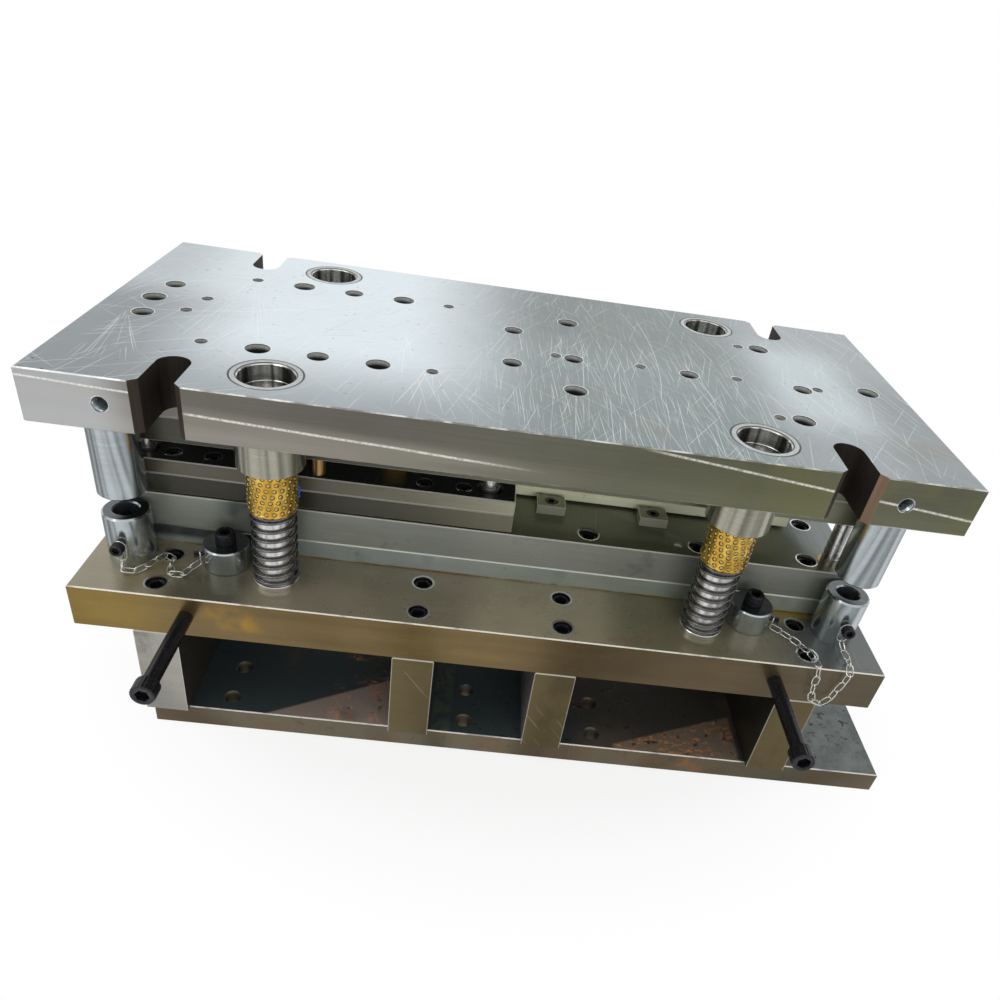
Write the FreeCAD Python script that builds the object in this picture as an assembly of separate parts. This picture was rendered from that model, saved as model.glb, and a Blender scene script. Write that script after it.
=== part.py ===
"""Ball-guided press die set, standing open on four parallels and a base plate.

The upper shoe carries the punches and rides on four guide posts, each with a
ball cage that a coil spring holds up. The stripper hangs from the upper shoe on
shoulder bolts. Limit posts stop the press at the closed height, and two storage
spacers on chains stand on the lower shoe until the set is put away.

Millimetres. The origin is under the middle of the lower shoe, on the base
plate's underside. +X runs along the shoes to the right, -Y is the front and +Z
is up.
"""
import FreeCAD, Part
import math
import os

from FreeCAD import Rotation, Vector

# Shoes, parallels and base plate
shoe_length = 760.0
shoe_margin = 80.0
lower_shoe_thickness = 45.0
upper_shoe_thickness = 45.0
base_length = 760.0
base_thickness = 25.0
base_shift_x = 56.0
base_shift_y = 7.0
parallel_width = 40.0
parallel_height = 103.0
outer_parallel_x = 308.0
inner_parallel_x = 68.5
edge_chamfer = 1.0

# Die stack on the lower shoe
stack_width = 185.0
stack_y = -3.0
die_backing_length = 700.0
die_backing_thickness = 20.0
die_plate_length = 720.0
die_plate_thickness = 35.0
strip_gap = 2.0
lane_y = 33.0

# Stripper, in a full-width left section and a narrow right one
stripper_thickness = 20.0
stripper_backing_thickness = 15.0
stripper_split_x = 10.5
section_gap = 1.5
right_stripper_end_x = 305.0
right_stripper_front_y = -22.5

# Punch plates under the upper shoe
punch_plate_length = 720.0
punch_plate_overhang = 5.0
punch_backing_thickness = 25.0
punch_holder_thickness = 25.0

# Widths that follow from the die stack: the shoes leave a margin for the guide posts and stops
post_inset = 42.5
upper_row_edge = 11.5
punch_plate_width = stack_width + 2 * punch_plate_overhang
shoe_width = punch_plate_width + 2 * shoe_margin
base_width = shoe_width
post_y = shoe_width / 2 - post_inset
upper_row_y = punch_plate_width / 2 - upper_row_edge

# Travel
closing_stroke = 19.5
stop_clearance = 0.5
opening_stroke = 40.0

# Guide posts with ball cages
post_x = 205.0
post_diameter = 35.0
post_top_gap = 30.0
post_collar_diameter = 41.0
post_collar_height = 5.0
ball_diameter = 5.0
bush_diameter = 58.0
bush_drop = 36.0
cage_clearance = 0.8
cage_length = 75.0
cage_bottom = 82.0
spring_wire = 2.6
spring_clearance = 0.7
spring_turns = 9
spring_facets = 16

# Limit posts and storage spacers
limit_x = 343.0
limit_front_edge = 57.5
limit_diameter = 42.0
lower_limit_height = 51.0
limit_web = 21.0
limit_pocket_diameter = 22.0
limit_screw = 12.0
limit_screw_grip = 22.0
anchor_screw = 8.0
anchor_height = 25.0
anchor_depth = 8.5
spacer_spacing = 87.5
spacer_front_edge = 58.5
spacer_height = 24.5
spacer_screw = 12.0
spacer_anchor_screw = 4.0
spacer_anchor_height = 15.0
spacer_anchor_turn = 25.0
spacer_lift = 30.0

# Socket screws, as shares of the thread diameter
head_ratio = 1.5
socket_ratio = 0.82
socket_depth_ratio = 0.55
counterbore_play = 0.75
screw_play = 0.5

# Screws and dowels of the lower half
shoe_screw = 14.0
shoe_screw_front_edge = 18.5
shoe_screw_pitch = 44.0
shoe_screw_sink = 3.0
shoe_screw_grip = 25.0
base_hole_diameter = 14.5
base_hole_chamfer = 1.5
die_screw = 14.0
die_screw_columns = (88.0, 200.0, 312.0)
die_screw_edge = 18.0
die_screw_sink = 3.0
die_screw_grip = 20.0
die_end_screw_x = 325.0
die_end_screw_y = -10.0
die_dowel = 10.0
die_dowel_x = 179.0
die_dowel_grip = 20.0

# Screws of the stripper and of the upper half
stripper_screw = 10.0
left_stripper_columns = (-311.0, -274.0, -77.0, -39.5)
right_stripper_columns = (25.0, 292.0)
stripper_screw_edge = 16.5
stripper_screw_sink = 0.5
stripper_screw_grip = 12.0
upper_screw = 14.0
upper_screw_columns = (-225.5, -124.0, 47.5, 253.0)
upper_end_screw_x = 344.0
upper_screw_sink = 8.0
upper_screw_grip = 14.0
upper_dowel = 12.0
upper_dowel_columns = (-272.5, -77.5, 231.0)
upper_dowel_spots = ((-300.0, 15.0), (-307.5, -20.0), (32.0, -10.0), (114.0, -9.0), (209.0, -8.0), (289.5, -8.0))
upper_dowel_rise = 18.0
bolt_shoulder = 13.0
bolt_head_diameter = 18.0
bolt_head_height = 9.0
bolt_seat_sink = 30.0
bolt_thread = 10.0
bolt_thread_length = 20.0
bolt_play = 0.5
bolt_spots = (
    (-339.0, 42.0), (-339.0, -38.0), (-175.0, upper_row_y), (-175.0, -upper_row_y),
    (-9.0, 42.0), (-9.0, -42.0), (49.0, -13.0), (161.0, -13.0), (273.0, -13.0),
)

# Guide posts of the stripper, punches and their springs
sub_post_diameter = 18.0
sub_post_columns = (-337.0, -14.5, 337.0)
sub_post_edge = 21.5
sub_post_head_diameter = 22.0
sub_post_head_height = 5.0
sub_post_entry = 3.0
sub_post_fit = 0.05
groove_pitch = 8.0
groove_depth = 0.6
groove_count = 3
sub_bush_diameter = 24.0
sub_bush_window = 26.0
punch_diameter = 10.0
punch_head_play = 2.0
punch_head_height = 4.0
punch_pitch = 45.0
punch_first_x = -280.0
punch_count = 5
blade_length = 20.0
blade_width = 8.0
blade_first_x = 110.0
blade_count = 4
punch_fit = 0.1
punch_bite = 2.5
slug_relief = 1.5
drop_slot_margin = 4.0
stripper_spring_diameter = 24.0
stripper_spring_bore = 12.0
stripper_spring_play = 0.5
stripper_spring_spots = (
    (-250.0, -45.0), (-110.0, -45.0), (-250.0, 72.0), (-100.0, 70.0),
    (82.0, -2.0), (241.0, -2.0), (100.0, 68.0), (200.0, 62.0),
)

# Clamping slots and tapped lifting holes of the shoes
slot_x = 277.5
slot_width = 27.0
slot_depth = 55.0
slot_mouth_chamfer = 6.0
lift_hole_diameter = 14.0
lift_hole_depth = 30.0
lift_hole_x = 320.0

# Stock guides on the die plate
guide_block_x = (50.0, 156.0)
guide_block_length = 29.0
guide_block_depth = 22.0
guide_block_height = 10.0
guide_block_gap = 6.5
guide_block_screw = 8.0
guide_block_grip = 10.0

# Carrying bolts in the front of the lower shoe
carry_bolt = 14.0
carry_bolt_x = 277.5
carry_bolt_drop = 21.5
carry_bolt_reach = 100.0
carry_bolt_grip = 28.0

# Air fitting on the stripper
fitting_x = -192.7
fitting_diameter = 8.0
fitting_height = 13.0
fitting_stem = 5.0
fitting_stand_off = 3.0

# Safety chains. Each route runs from the limit post to the spacer, through points chosen by hand
# that are counted across from the post's middle, in from the shoe's front and up from its top.
link_width = 7.6
link_wire = 1.2
link_pitch = 10.8
link_play = 0.3
end_link_length = 22.0
end_link_width = 12.0
chain_room = 4.2
left_chain_route = (
    (1.0, 26.0, 5.5), (9.0, 24.0, 4.2), (17.0, 29.0, 4.0), (22.0, 38.5, 4.0), (27.0, 49.0, 4.0), (33.5, 56.5, 4.0),
    (40.0, 50.0, 4.0), (41.0, 39.5, 4.0), (44.0, 29.5, 4.0), (51.0, 25.5, 4.0), (57.0, 31.0, 4.2), (60.0, 41.0, 4.6),
)
right_chain_route = (
    (1.0, 26.5, 5.5), (2.0, 16.5, 4.2), (1.0, 7.5, 4.8), (0.0, 1.5, 5.6), (-1.0, -4.5, 4.4), (-2.0, -6.8, -2.5),
    (-4.0, -6.0, -12.0), (-7.0, -6.0, -24.0), (-11.0, -6.0, -35.0), (-18.5, -6.0, -40.5), (-26.0, -6.0, -35.0),
    (-29.0, -6.0, -24.0), (-30.3, -6.0, -12.0), (-31.0, -6.8, -2.5), (-31.5, -4.5, 4.4), (-32.0, 1.5, 5.6),
    (-33.0, 8.0, 4.8), (-36.5, 20.0, 4.0), (-43.0, 30.0, 4.0), (-51.0, 38.5, 4.0), (-57.5, 44.5, 4.6),
)

# Heights that follow from the thicknesses
lower_shoe_bottom = base_thickness + parallel_height
deck_z = lower_shoe_bottom + lower_shoe_thickness
die_backing_top = deck_z + die_backing_thickness
die_top = die_backing_top + die_plate_thickness
stripper_bottom = die_top + strip_gap
stripper_joint_z = stripper_bottom + stripper_thickness
stripper_top = stripper_joint_z + stripper_backing_thickness
open_gap = closing_stroke + stop_clearance
holder_bottom = stripper_top + open_gap
holder_top = holder_bottom + punch_holder_thickness
upper_shoe_bottom = holder_top + punch_backing_thickness
upper_shoe_top = upper_shoe_bottom + upper_shoe_thickness
lower_limit_top = deck_z + lower_limit_height
upper_limit_bottom = lower_limit_top + open_gap

# Places that follow from the plan sizes
shoe_front = -shoe_width / 2
stack_front = stack_y - stack_width / 2
stack_rear = stack_y + stack_width / 2
corners = (("front_left", -1, -1), ("front_right", 1, -1), ("rear_left", -1, 1), ("rear_right", 1, 1))
parallel_columns = (-outer_parallel_x, -inner_parallel_x, inner_parallel_x, outer_parallel_x)
front_screw_y = shoe_front + shoe_screw_front_edge
shoe_screw_rows = (front_screw_y, front_screw_y + shoe_screw_pitch, -front_screw_y - shoe_screw_pitch, -front_screw_y)
shoe_screw_spots = [(x, y) for x in parallel_columns for y in shoe_screw_rows]
die_rows = (stack_front + die_screw_edge, stack_rear - die_screw_edge)
die_screw_spots = [(side * x, y) for x in die_screw_columns for side in (-1, 1) for y in die_rows]
die_screw_spots += [(side * die_end_screw_x, die_end_screw_y) for side in (-1, 1)]
die_dowel_spots = [(die_dowel_x, die_rows[0]), (-die_dowel_x, die_rows[1])]
upper_screw_spots = [(x, side * upper_row_y) for x in upper_screw_columns for side in (-1, 1)]
upper_screw_spots += [(side * upper_end_screw_x, 2.0) for side in (-1, 1)]
upper_dowels = [(x, side * upper_row_y) for x in upper_dowel_columns for side in (-1, 1)]
upper_dowels += list(upper_dowel_spots)
left_rows = (stack_front + stripper_screw_edge, stack_rear - stripper_screw_edge)
right_rows = (right_stripper_front_y + stripper_screw_edge, stack_rear - stripper_screw_edge)
left_stripper_screws = [(x, y) for x in left_stripper_columns for y in left_rows]
right_stripper_screws = [(x, y) for x in right_stripper_columns for y in right_rows]
sub_rows = (stack_front + sub_post_edge, stack_rear - sub_post_edge)
sub_post_spots = [(x, y) for x in sub_post_columns for y in sub_rows]
punch_spots = [(punch_first_x + i * punch_pitch, lane_y) for i in range(punch_count)]
blade_spots = [(blade_first_x + i * punch_pitch, lane_y) for i in range(blade_count)]
track_diameter = post_diameter + 2 * ball_diameter
right_stripper_start_x = stripper_split_x + section_gap
carry_bolt_z = deck_z - carry_bolt_drop
limit_y = shoe_width / 2 - limit_front_edge
spacer_x = limit_x - spacer_spacing
spacer_y = shoe_width / 2 - spacer_front_edge


# Small shape helpers
def box(x0, x1, y0, y1, z0, z1):
    return Part.makeBox(x1 - x0, y1 - y0, z1 - z0, Vector(x0, y0, z0))


def cylinder(diameter, z0, z1, x=0.0, y=0.0):
    return Part.makeCylinder(diameter / 2, z1 - z0, Vector(x, y, z0))


def rod(diameter, start, direction, length):
    return Part.makeCylinder(diameter / 2, length, start, direction)


def cone(d0, d1, z0, z1, x=0.0, y=0.0):
    return Part.makeCone(d0 / 2, d1 / 2, z1 - z0, Vector(x, y, z0))


def plate(x0, x1, y0, y1, z0, z1, chamfer=edge_chamfer):
    """A ground plate with a small chamfer round its top and bottom edges."""
    solid = box(x0, x1, y0, y1, z0, z1)
    edges = [e for e in solid.Edges if abs(e.BoundBox.ZLength) < 0.001]
    return solid.makeChamfer(chamfer, edges)


def turned(points):
    """A round piece turned from its half profile of (radius, height) points."""
    outline = [Vector(r, 0, z) for r, z in points]
    face = Part.Face(Part.makePolygon(outline + outline[:1]))
    return face.revolve(Vector(0, 0, 0), Vector(0, 0, 1), 360)


def at(shape, x, y, z=0.0):
    copy = shape.copy()
    copy.translate(Vector(x, y, z))
    return copy


def cut_all(solid, cutters):
    """Cut every cutter out of a solid in one step."""
    return solid.cut(Part.makeCompound(cutters)) if cutters else solid


def single(shape):
    """The one solid that a cut or a fuse leaves."""
    return shape.Solids[0] if len(shape.Solids) == 1 else shape


def hexagon(across_flats, z0, z1):
    radius = across_flats / math.sqrt(3)
    points = [Vector(radius * math.cos(math.radians(a)), radius * math.sin(math.radians(a)), z0) for a in range(0, 420, 60)]
    return Part.Face(Part.makePolygon(points)).extrude(Vector(0, 0, z1 - z0))


def socket_screw(thread, length):
    """A hex socket cap screw with its head's seat at the origin, head up."""
    head = thread * head_ratio
    rim = 0.06 * thread
    profile = ((0, -length), (thread / 2, -length), (thread / 2, 0), (head / 2, 0))
    profile += ((head / 2, thread - rim), (head / 2 - rim, thread), (0, thread))
    socket = hexagon(thread * socket_ratio, thread * (1 - socket_depth_ratio), thread + 1)
    return single(turned(profile).cut(socket))


def counterbore(thread, x, y, seat_z, top_z, bottom_z):
    """The hole of a sunk cap screw: a wide bore for the head over a through hole."""
    wide = cylinder(thread * head_ratio + 2 * counterbore_play, seat_z, top_z + 1, x, y)
    return [wide, cylinder(thread + 2 * screw_play, bottom_z - 1, seat_z, x, y)]


def pointing(shape, direction, place):
    """A piece drawn along +Z, turned to point along direction and put in place."""
    copy = shape.copy()
    copy.Placement = FreeCAD.Placement(place, Rotation(Vector(0, 0, 1), direction))
    return copy


nodes = {}


# Base plate and parallels
def make_base_plate():
    middle_x, middle_y = base_shift_x, base_shift_y
    solid = plate(
        middle_x - base_length / 2, middle_x + base_length / 2,
        middle_y - base_width / 2, middle_y + base_width / 2, 0.0, base_thickness,
    )
    wide = base_hole_diameter + 2 * base_hole_chamfer
    cutters = []
    for x, y in shoe_screw_spots:
        cutters.append(cylinder(base_hole_diameter, -1.0, base_thickness + 1.0, x + middle_x, y + middle_y))
        cutters.append(cone(
            base_hole_diameter, wide + 1.0, base_thickness - base_hole_chamfer, base_thickness + 0.5,
            x + middle_x, y + middle_y,
        ))
    return single(cut_all(solid, cutters))


def make_parallel(x):
    solid = plate(
        x - parallel_width / 2, x + parallel_width / 2, shoe_front, -shoe_front, base_thickness, lower_shoe_bottom,
    )
    cutters = [cylinder(shoe_screw, lower_shoe_bottom - shoe_screw_grip - 3.0, lower_shoe_bottom + 1.0, x, y)
               for y in shoe_screw_rows]
    return single(cut_all(solid, cutters))


nodes["base_plate"] = make_base_plate()
for number, parallel_x in enumerate(parallel_columns, 1):
    nodes[f"parallel_{number}"] = make_parallel(parallel_x)


# Lower shoe with its screws and carrying bolts
shoe_screw_seat = deck_z - shoe_screw_sink - shoe_screw


def make_lower_shoe():
    solid = plate(-shoe_length / 2, shoe_length / 2, shoe_front, -shoe_front, lower_shoe_bottom, deck_z)
    cutters = []
    for x, y in shoe_screw_spots:
        cutters += counterbore(shoe_screw, x, y, shoe_screw_seat, deck_z, lower_shoe_bottom)
    for _, sx, sy in corners:
        cutters.append(cylinder(post_diameter, lower_shoe_bottom - 1, deck_z + 1, sx * post_x, sy * post_y))
        cutters.append(cylinder(limit_screw, deck_z - limit_screw_grip - 3, deck_z + 1, sx * limit_x, sy * limit_y))
    for x, y in die_screw_spots:
        cutters.append(cylinder(die_screw, deck_z - die_screw_grip - 3, deck_z + 1, x, y))
    for x, y in die_dowel_spots:
        cutters.append(cylinder(die_dowel, deck_z - die_dowel_grip, deck_z + 1, x, y))
    for side in (-1, 1):
        start = Vector(side * carry_bolt_x, shoe_front - 1, carry_bolt_z)
        cutters.append(rod(carry_bolt, start, Vector(0, 1, 0), carry_bolt_grip + 4))
    cutters.append(drop_slot(punch_spots, punch_diameter, punch_diameter))
    cutters.append(drop_slot(blade_spots, blade_length, blade_width))
    return single(cut_all(solid, cutters))


def drop_slot(spots, length, width):
    """One long slot under a row of punches, through which the blanks drop between the parallels."""
    half_x = length / 2 + drop_slot_margin
    half_y = width / 2 + drop_slot_margin
    y = spots[0][1]
    low, high = lower_shoe_bottom - 1, deck_z + 1
    return box(spots[0][0] - half_x, spots[-1][0] + half_x, y - half_y, y + half_y, low, high)


def slug_holes(z0, z1, relief):
    """Holes of the punches' own size, or a little wider under the cutting edges."""
    holes = [cylinder(punch_diameter + 2 * relief, z0, z1, x, y) for x, y in punch_spots]
    for x, y in blade_spots:
        half_x = blade_length / 2 + relief
        half_y = blade_width / 2 + relief
        holes.append(box(x - half_x, x + half_x, y - half_y, y + half_y, z0, z1))
    return holes


nodes["lower_shoe"] = make_lower_shoe()
shoe_screw_length = shoe_screw_seat - lower_shoe_bottom + shoe_screw_grip
shoe_cap_screw = socket_screw(shoe_screw, shoe_screw_length)
nodes["parallel_screws"] = [at(shoe_cap_screw, x, y, shoe_screw_seat) for x, y in shoe_screw_spots]
carry_head_y = shoe_front - carry_bolt_reach + carry_bolt
carry_cap_screw = socket_screw(carry_bolt, carry_bolt_reach - carry_bolt + carry_bolt_grip)
carry_heads = [Vector(side * carry_bolt_x, carry_head_y, carry_bolt_z) for side in (-1, 1)]
nodes["carry_bolts"] = [pointing(carry_cap_screw, Vector(0, -1, 0), place) for place in carry_heads]


# Die backing plate and die plate
die_screw_seat = die_top - die_screw_sink - die_screw


def make_die_backing():
    half = die_backing_length / 2
    solid = plate(-half, half, stack_front, stack_rear, deck_z, die_backing_top)
    cutters = [cylinder(die_screw + 2 * screw_play, deck_z - 1, die_backing_top + 1, x, y) for x, y in die_screw_spots]
    cutters += [cylinder(die_dowel, deck_z - 1, die_backing_top + 1, x, y) for x, y in die_dowel_spots]
    cutters += slug_holes(deck_z - 1, die_backing_top + 1, slug_relief)
    return single(cut_all(solid, cutters))


def make_die_plate():
    half = die_plate_length / 2
    solid = plate(-half, half, stack_front, stack_rear, die_backing_top, die_top)
    cutters = []
    for x, y in die_screw_spots:
        cutters += counterbore(die_screw, x, y, die_screw_seat, die_top, die_backing_top)
    cutters += [cylinder(die_dowel, die_backing_top - 1, die_top + 1, x, y) for x, y in die_dowel_spots]
    cutters += [cylinder(sub_bush_diameter, die_backing_top - 1, die_top + 1, x, y) for x, y in sub_post_spots]
    for x, y in guide_screw_spots():
        cutters.append(cylinder(guide_block_screw, die_top - guide_block_grip - 2, die_top + 1, x, y))
    cutters += slug_holes(die_backing_top - 1, die_top + 1, punch_fit)
    return single(cut_all(solid, cutters))


def guide_screw_spots():
    middle_y = right_stripper_front_y - guide_block_gap - guide_block_depth / 2
    return [(x, middle_y) for x in guide_block_x]


nodes["die_backing_plate"] = make_die_backing()
nodes["die_plate"] = make_die_plate()
die_cap_screw = socket_screw(die_screw, die_screw_seat - deck_z + die_screw_grip)
nodes["die_plate_screws"] = [at(die_cap_screw, x, y, die_screw_seat) for x, y in die_screw_spots]
nodes["die_dowels"] = [cylinder(die_dowel, deck_z - die_dowel_grip, die_top - 1, x, y) for x, y in die_dowel_spots]
lower_bush = cylinder(sub_bush_diameter, die_backing_top, die_top)
lower_bush = lower_bush.cut(cylinder(sub_post_diameter + 2 * sub_post_fit, die_backing_top - 1, die_top + 1))
nodes["die_plate_bushes"] = [at(single(lower_bush), x, y) for x, y in sub_post_spots]


# Stock guide blocks
def make_guide_block(x, y):
    half_x = guide_block_length / 2
    half_y = guide_block_depth / 2
    top = die_top + guide_block_height
    solid = plate(x - half_x, x + half_x, y - half_y, y + half_y, die_top, top, edge_chamfer / 2)
    seat = top - guide_block_screw
    return single(cut_all(solid, counterbore(guide_block_screw, x, y, seat, top, die_top)))


nodes["stock_guides"] = [make_guide_block(x, y) for x, y in guide_screw_spots()]
guide_seat = die_top + guide_block_height - guide_block_screw
guide_cap_screw = socket_screw(guide_block_screw, guide_seat - die_top + guide_block_grip)
nodes["stock_guide_screws"] = [at(guide_cap_screw, x, y, guide_seat) for x, y in guide_screw_spots()]


# Guide posts, springs, ball cages and bushes
def make_guide_post():
    top = upper_shoe_top - post_top_gap
    radius = post_diameter / 2
    collar = post_collar_diameter / 2
    nose = 2.0
    profile = ((0, lower_shoe_bottom), (radius, lower_shoe_bottom), (radius, deck_z), (collar, deck_z))
    profile += ((collar, deck_z + post_collar_height), (radius, deck_z + post_collar_height))
    profile += ((radius, top - 2 * nose), (radius - nose, top), (0, top))
    return turned(profile)


def make_spring():
    """A compression spring from the post's collar up to the cage, in flat facets along the wire."""
    half = spring_wire / 2
    coil_radius = post_diameter / 2 + spring_clearance + half
    bottom = deck_z + post_collar_height + half + 0.1
    top = deck_z + cage_bottom - half - 0.1
    steps = spring_turns * spring_facets
    section = ((-half, 0.0), (0.0, -half), (half, 0.0), (0.0, half))
    points, facets = [], []
    for i in range(steps + 1):
        angle = 2 * math.pi * i / spring_facets
        z = bottom + (top - bottom) * i / steps
        for out, up in section:
            radius = coil_radius + out
            points.append(Vector(radius * math.cos(angle), radius * math.sin(angle), z + up))
    for i in range(steps):
        for j in range(4):
            a, b = 4 * i + j, 4 * i + (j + 1) % 4
            facets += [(a, b, b + 4), (a, b + 4, a + 4)]
    last = 4 * steps
    facets += [(0, 2, 1), (0, 3, 2), (last, last + 1, last + 2), (last, last + 2, last + 3)]
    shell = Part.Shape()
    shell.makeShapeFromMesh((points, facets), 0.01)
    return Part.makeSolid(shell)


def make_cage():
    inner = post_diameter / 2 + cage_clearance
    outer = track_diameter / 2 - cage_clearance
    low = deck_z + cage_bottom
    high = low + cage_length
    rim = 0.6
    profile = ((inner, low), (outer - rim, low), (outer, low + rim))
    profile += ((outer, high - rim), (outer - rim, high), (inner, high))
    return turned(profile)


def make_guide_bush():
    inner = track_diameter / 2
    outer = bush_diameter / 2
    low = upper_shoe_bottom - bush_drop
    mouth = 1.5
    profile = ((inner + mouth, low), (outer - mouth, low), (outer, low + mouth), (outer, upper_shoe_top))
    profile += ((inner + mouth, upper_shoe_top), (inner, upper_shoe_top - mouth), (inner, low + mouth))
    return turned(profile)


guide_post, guide_spring, ball_cage, guide_bush = make_guide_post(), make_spring(), make_cage(), make_guide_bush()
for corner, sx, sy in corners:
    nodes[f"guide_post_{corner}"] = at(guide_post, sx * post_x, sy * post_y)
    nodes[f"guide_spring_{corner}"] = at(guide_spring, sx * post_x, sy * post_y)
    nodes[f"ball_cage_{corner}"] = at(ball_cage, sx * post_x, sy * post_y)
    nodes[f"guide_bush_{corner}"] = at(guide_bush, sx * post_x, sy * post_y)


# Limit posts
def make_limit_post(height):
    """A stop post standing at z = 0, with a deep pocket for its screw at the free end."""
    radius = limit_diameter / 2
    chamfer = 1.5
    profile = ((0, 0), (radius, 0), (radius, height - chamfer), (radius - chamfer, height), (0, height))
    pocket = cylinder(limit_pocket_diameter, limit_web, height + 1)
    return single(turned(profile).cut(Part.makeCompound([pocket, cylinder(limit_screw + 2 * screw_play, -1, limit_web)])))


def anchor_hole(x, y):
    start = Vector(x, y - limit_diameter / 2 - 1, deck_z + anchor_height)
    return rod(anchor_screw, start, Vector(0, 1, 0), anchor_depth)


def flipped(shape, z):
    """A copy hung upside down from height z."""
    copy = shape.copy()
    copy.rotate(Vector(0, 0, 0), Vector(1, 0, 0), 180)
    copy.translate(Vector(0, 0, z))
    return copy


lower_limit = make_limit_post(lower_limit_height)
upper_limit = flipped(make_limit_post(upper_shoe_bottom - upper_limit_bottom), upper_shoe_bottom)
limit_spots = [(sx * limit_x, sy * limit_y) for _, sx, sy in corners]
lower_stops = [at(lower_limit, x, y, deck_z) for x, y in limit_spots]
anchor_holes = Part.makeCompound([anchor_hole(x, y) for x, y in limit_spots if y < 0])
nodes["lower_limit_posts"] = [single(stop.cut(anchor_holes)) for stop in lower_stops]
nodes["upper_limit_posts"] = [at(upper_limit, x, y) for x, y in limit_spots]
limit_cap_screw = socket_screw(limit_screw, limit_web + limit_screw_grip)
nodes["lower_limit_screws"] = [at(limit_cap_screw, x, y, deck_z + limit_web) for x, y in limit_spots]
hung_limit_screw = flipped(limit_cap_screw, upper_shoe_bottom - limit_web)
nodes["upper_limit_screws"] = [at(hung_limit_screw, x, y) for x, y in limit_spots]


# Storage spacers with their locating screws, and the chains' anchor screws
def anchor_direction(side):
    """The way a spacer's anchor screw points: outward along the shoe and a little to the front."""
    turn = math.radians(spacer_anchor_turn)
    return Vector(side * math.cos(turn), -math.sin(turn), 0)


def make_spacer():
    radius = limit_diameter / 2
    chamfer = 1.5
    profile = ((0, 0), (radius - chamfer, 0), (radius, chamfer), (radius, spacer_height - chamfer))
    profile += ((radius - chamfer, spacer_height), (0, spacer_height))
    return turned(profile).cut(cylinder(spacer_screw, -1, spacer_height + 1))


locating_screw = socket_screw(spacer_screw, spacer_height)
anchor_cap_screw = socket_screw(anchor_screw, chain_room + anchor_depth - 2)
spacer_anchor = socket_screw(spacer_anchor_screw, chain_room + 2 * spacer_anchor_screw)
nodes["chain_anchor_screws"] = []
for side_name, side in (("left", -1), ("right", 1)):
    spacer_middle = Vector(side * spacer_x, -spacer_y, deck_z + spacer_anchor_height)
    wall = limit_diameter / 2
    outward = anchor_direction(side)
    body = at(make_spacer(), side * spacer_x, -spacer_y, deck_z)
    anchor_bore = rod(spacer_anchor_screw, spacer_middle + outward * (wall + 1), -outward, 3 * spacer_anchor_screw)
    nodes[f"storage_spacer_{side_name}"] = single(body.cut(anchor_bore))
    anchor_seat = spacer_middle + outward * (wall + chain_room)
    nodes[f"spacer_screws_{side_name}"] = [
        at(locating_screw, side * spacer_x, -spacer_y, deck_z + spacer_height),
        pointing(spacer_anchor, outward, anchor_seat),
    ]
    post_seat = Vector(side * limit_x, -limit_y - wall - chain_room, deck_z + anchor_height)
    nodes["chain_anchor_screws"].append(pointing(anchor_cap_screw, Vector(0, -1, 0), post_seat))


# Safety chains of long links, each lying on the route and rolled a quarter turn from the last
def link_outline(length, width):
    x, y, corner = length / 2, width / 2, 0.3 * width
    points = [(x, -y + corner), (x, y - corner), (x - corner, y), (-x + corner, y)]
    points += [(-px, -py) for px, py in points]
    return Part.makePolygon([Vector(px, py, -link_wire / 2) for px, py in points + points[:1]])


def make_link(length, width):
    """One flat link with its long side on X and its corners cut at 45 degrees."""
    outer = Part.Face(link_outline(length, width))
    inner = Part.Face(link_outline(length - 2 * link_wire, width - 2 * link_wire))
    return outer.cut(inner).extrude(Vector(0, 0, link_wire))


def link_frame(ahead, across):
    """The turn that lays a link's long side along one direction and its short side along another."""
    return Rotation(ahead, across, ahead.cross(across), "XYZ")


def hung_link(shank_middle, shank, length, width, across):
    """A link hanging from a screw's shank, and the point where the next link hooks into it."""
    link = make_link(length, width)
    drop = length / 2 - link_wire - shank / 2 - 0.2
    middle = shank_middle - Vector(0, 0, drop)
    link.Placement = FreeCAD.Placement(middle, link_frame(Vector(0, 0, 1), across))
    return link, middle - Vector(0, 0, (length - link_play) / 2 - link_wire)


def shoe_normal(point):
    """The direction from the lower shoe's nearest point, so that links lie on its top, edge or front."""
    return Vector(0, min(0.0, point.y - shoe_front), max(0.01, point.z - deck_z)).normalize()


def make_chain(side, route):
    """Equal links from post to spacer, an odd count so that both end ones stand on edge in their hooks."""
    full_length = link_pitch + 2 * link_wire + link_play
    hook_reach = limit_diameter / 2 + 0.7 * chain_room
    outward = anchor_direction(side)
    post_middle = Vector(side * limit_x, -limit_y - hook_reach, deck_z + anchor_height)
    spacer_middle = Vector(side * spacer_x, -spacer_y, deck_z + spacer_anchor_height) + outward * hook_reach
    post_link, start = hung_link(post_middle, anchor_screw, end_link_length, end_link_width, Vector(1, 0, 0))
    sideways = outward.cross(Vector(0, 0, 1))
    spacer_link, finish = hung_link(spacer_middle, spacer_anchor_screw, full_length, link_width, sideways)
    curve = Part.BSplineCurve()
    middle = [Vector(side * limit_x + x, shoe_front + y, deck_z + z) for x, y, z in route]
    curve.interpolate([start] + middle + [finish])
    count = 2 * round(curve.length() / link_pitch / 2 - 0.5) + 1
    joints = curve.discretize(count + 1)
    links = [post_link, spacer_link]
    plain_link = make_link(curve.length() / count + 2 * link_wire + link_play, link_width)
    for i, (here, there) in enumerate(zip(joints, joints[1:])):
        ahead = (there - here).normalize()
        off_shoe = shoe_normal((here + there) / 2)
        aside = ahead.cross(off_shoe).normalize()
        link = plain_link.copy()
        across = aside if i % 2 else aside.cross(ahead)
        link.Placement = FreeCAD.Placement((here + there) / 2, link_frame(ahead, across))
        links.append(link)
    return links


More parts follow.
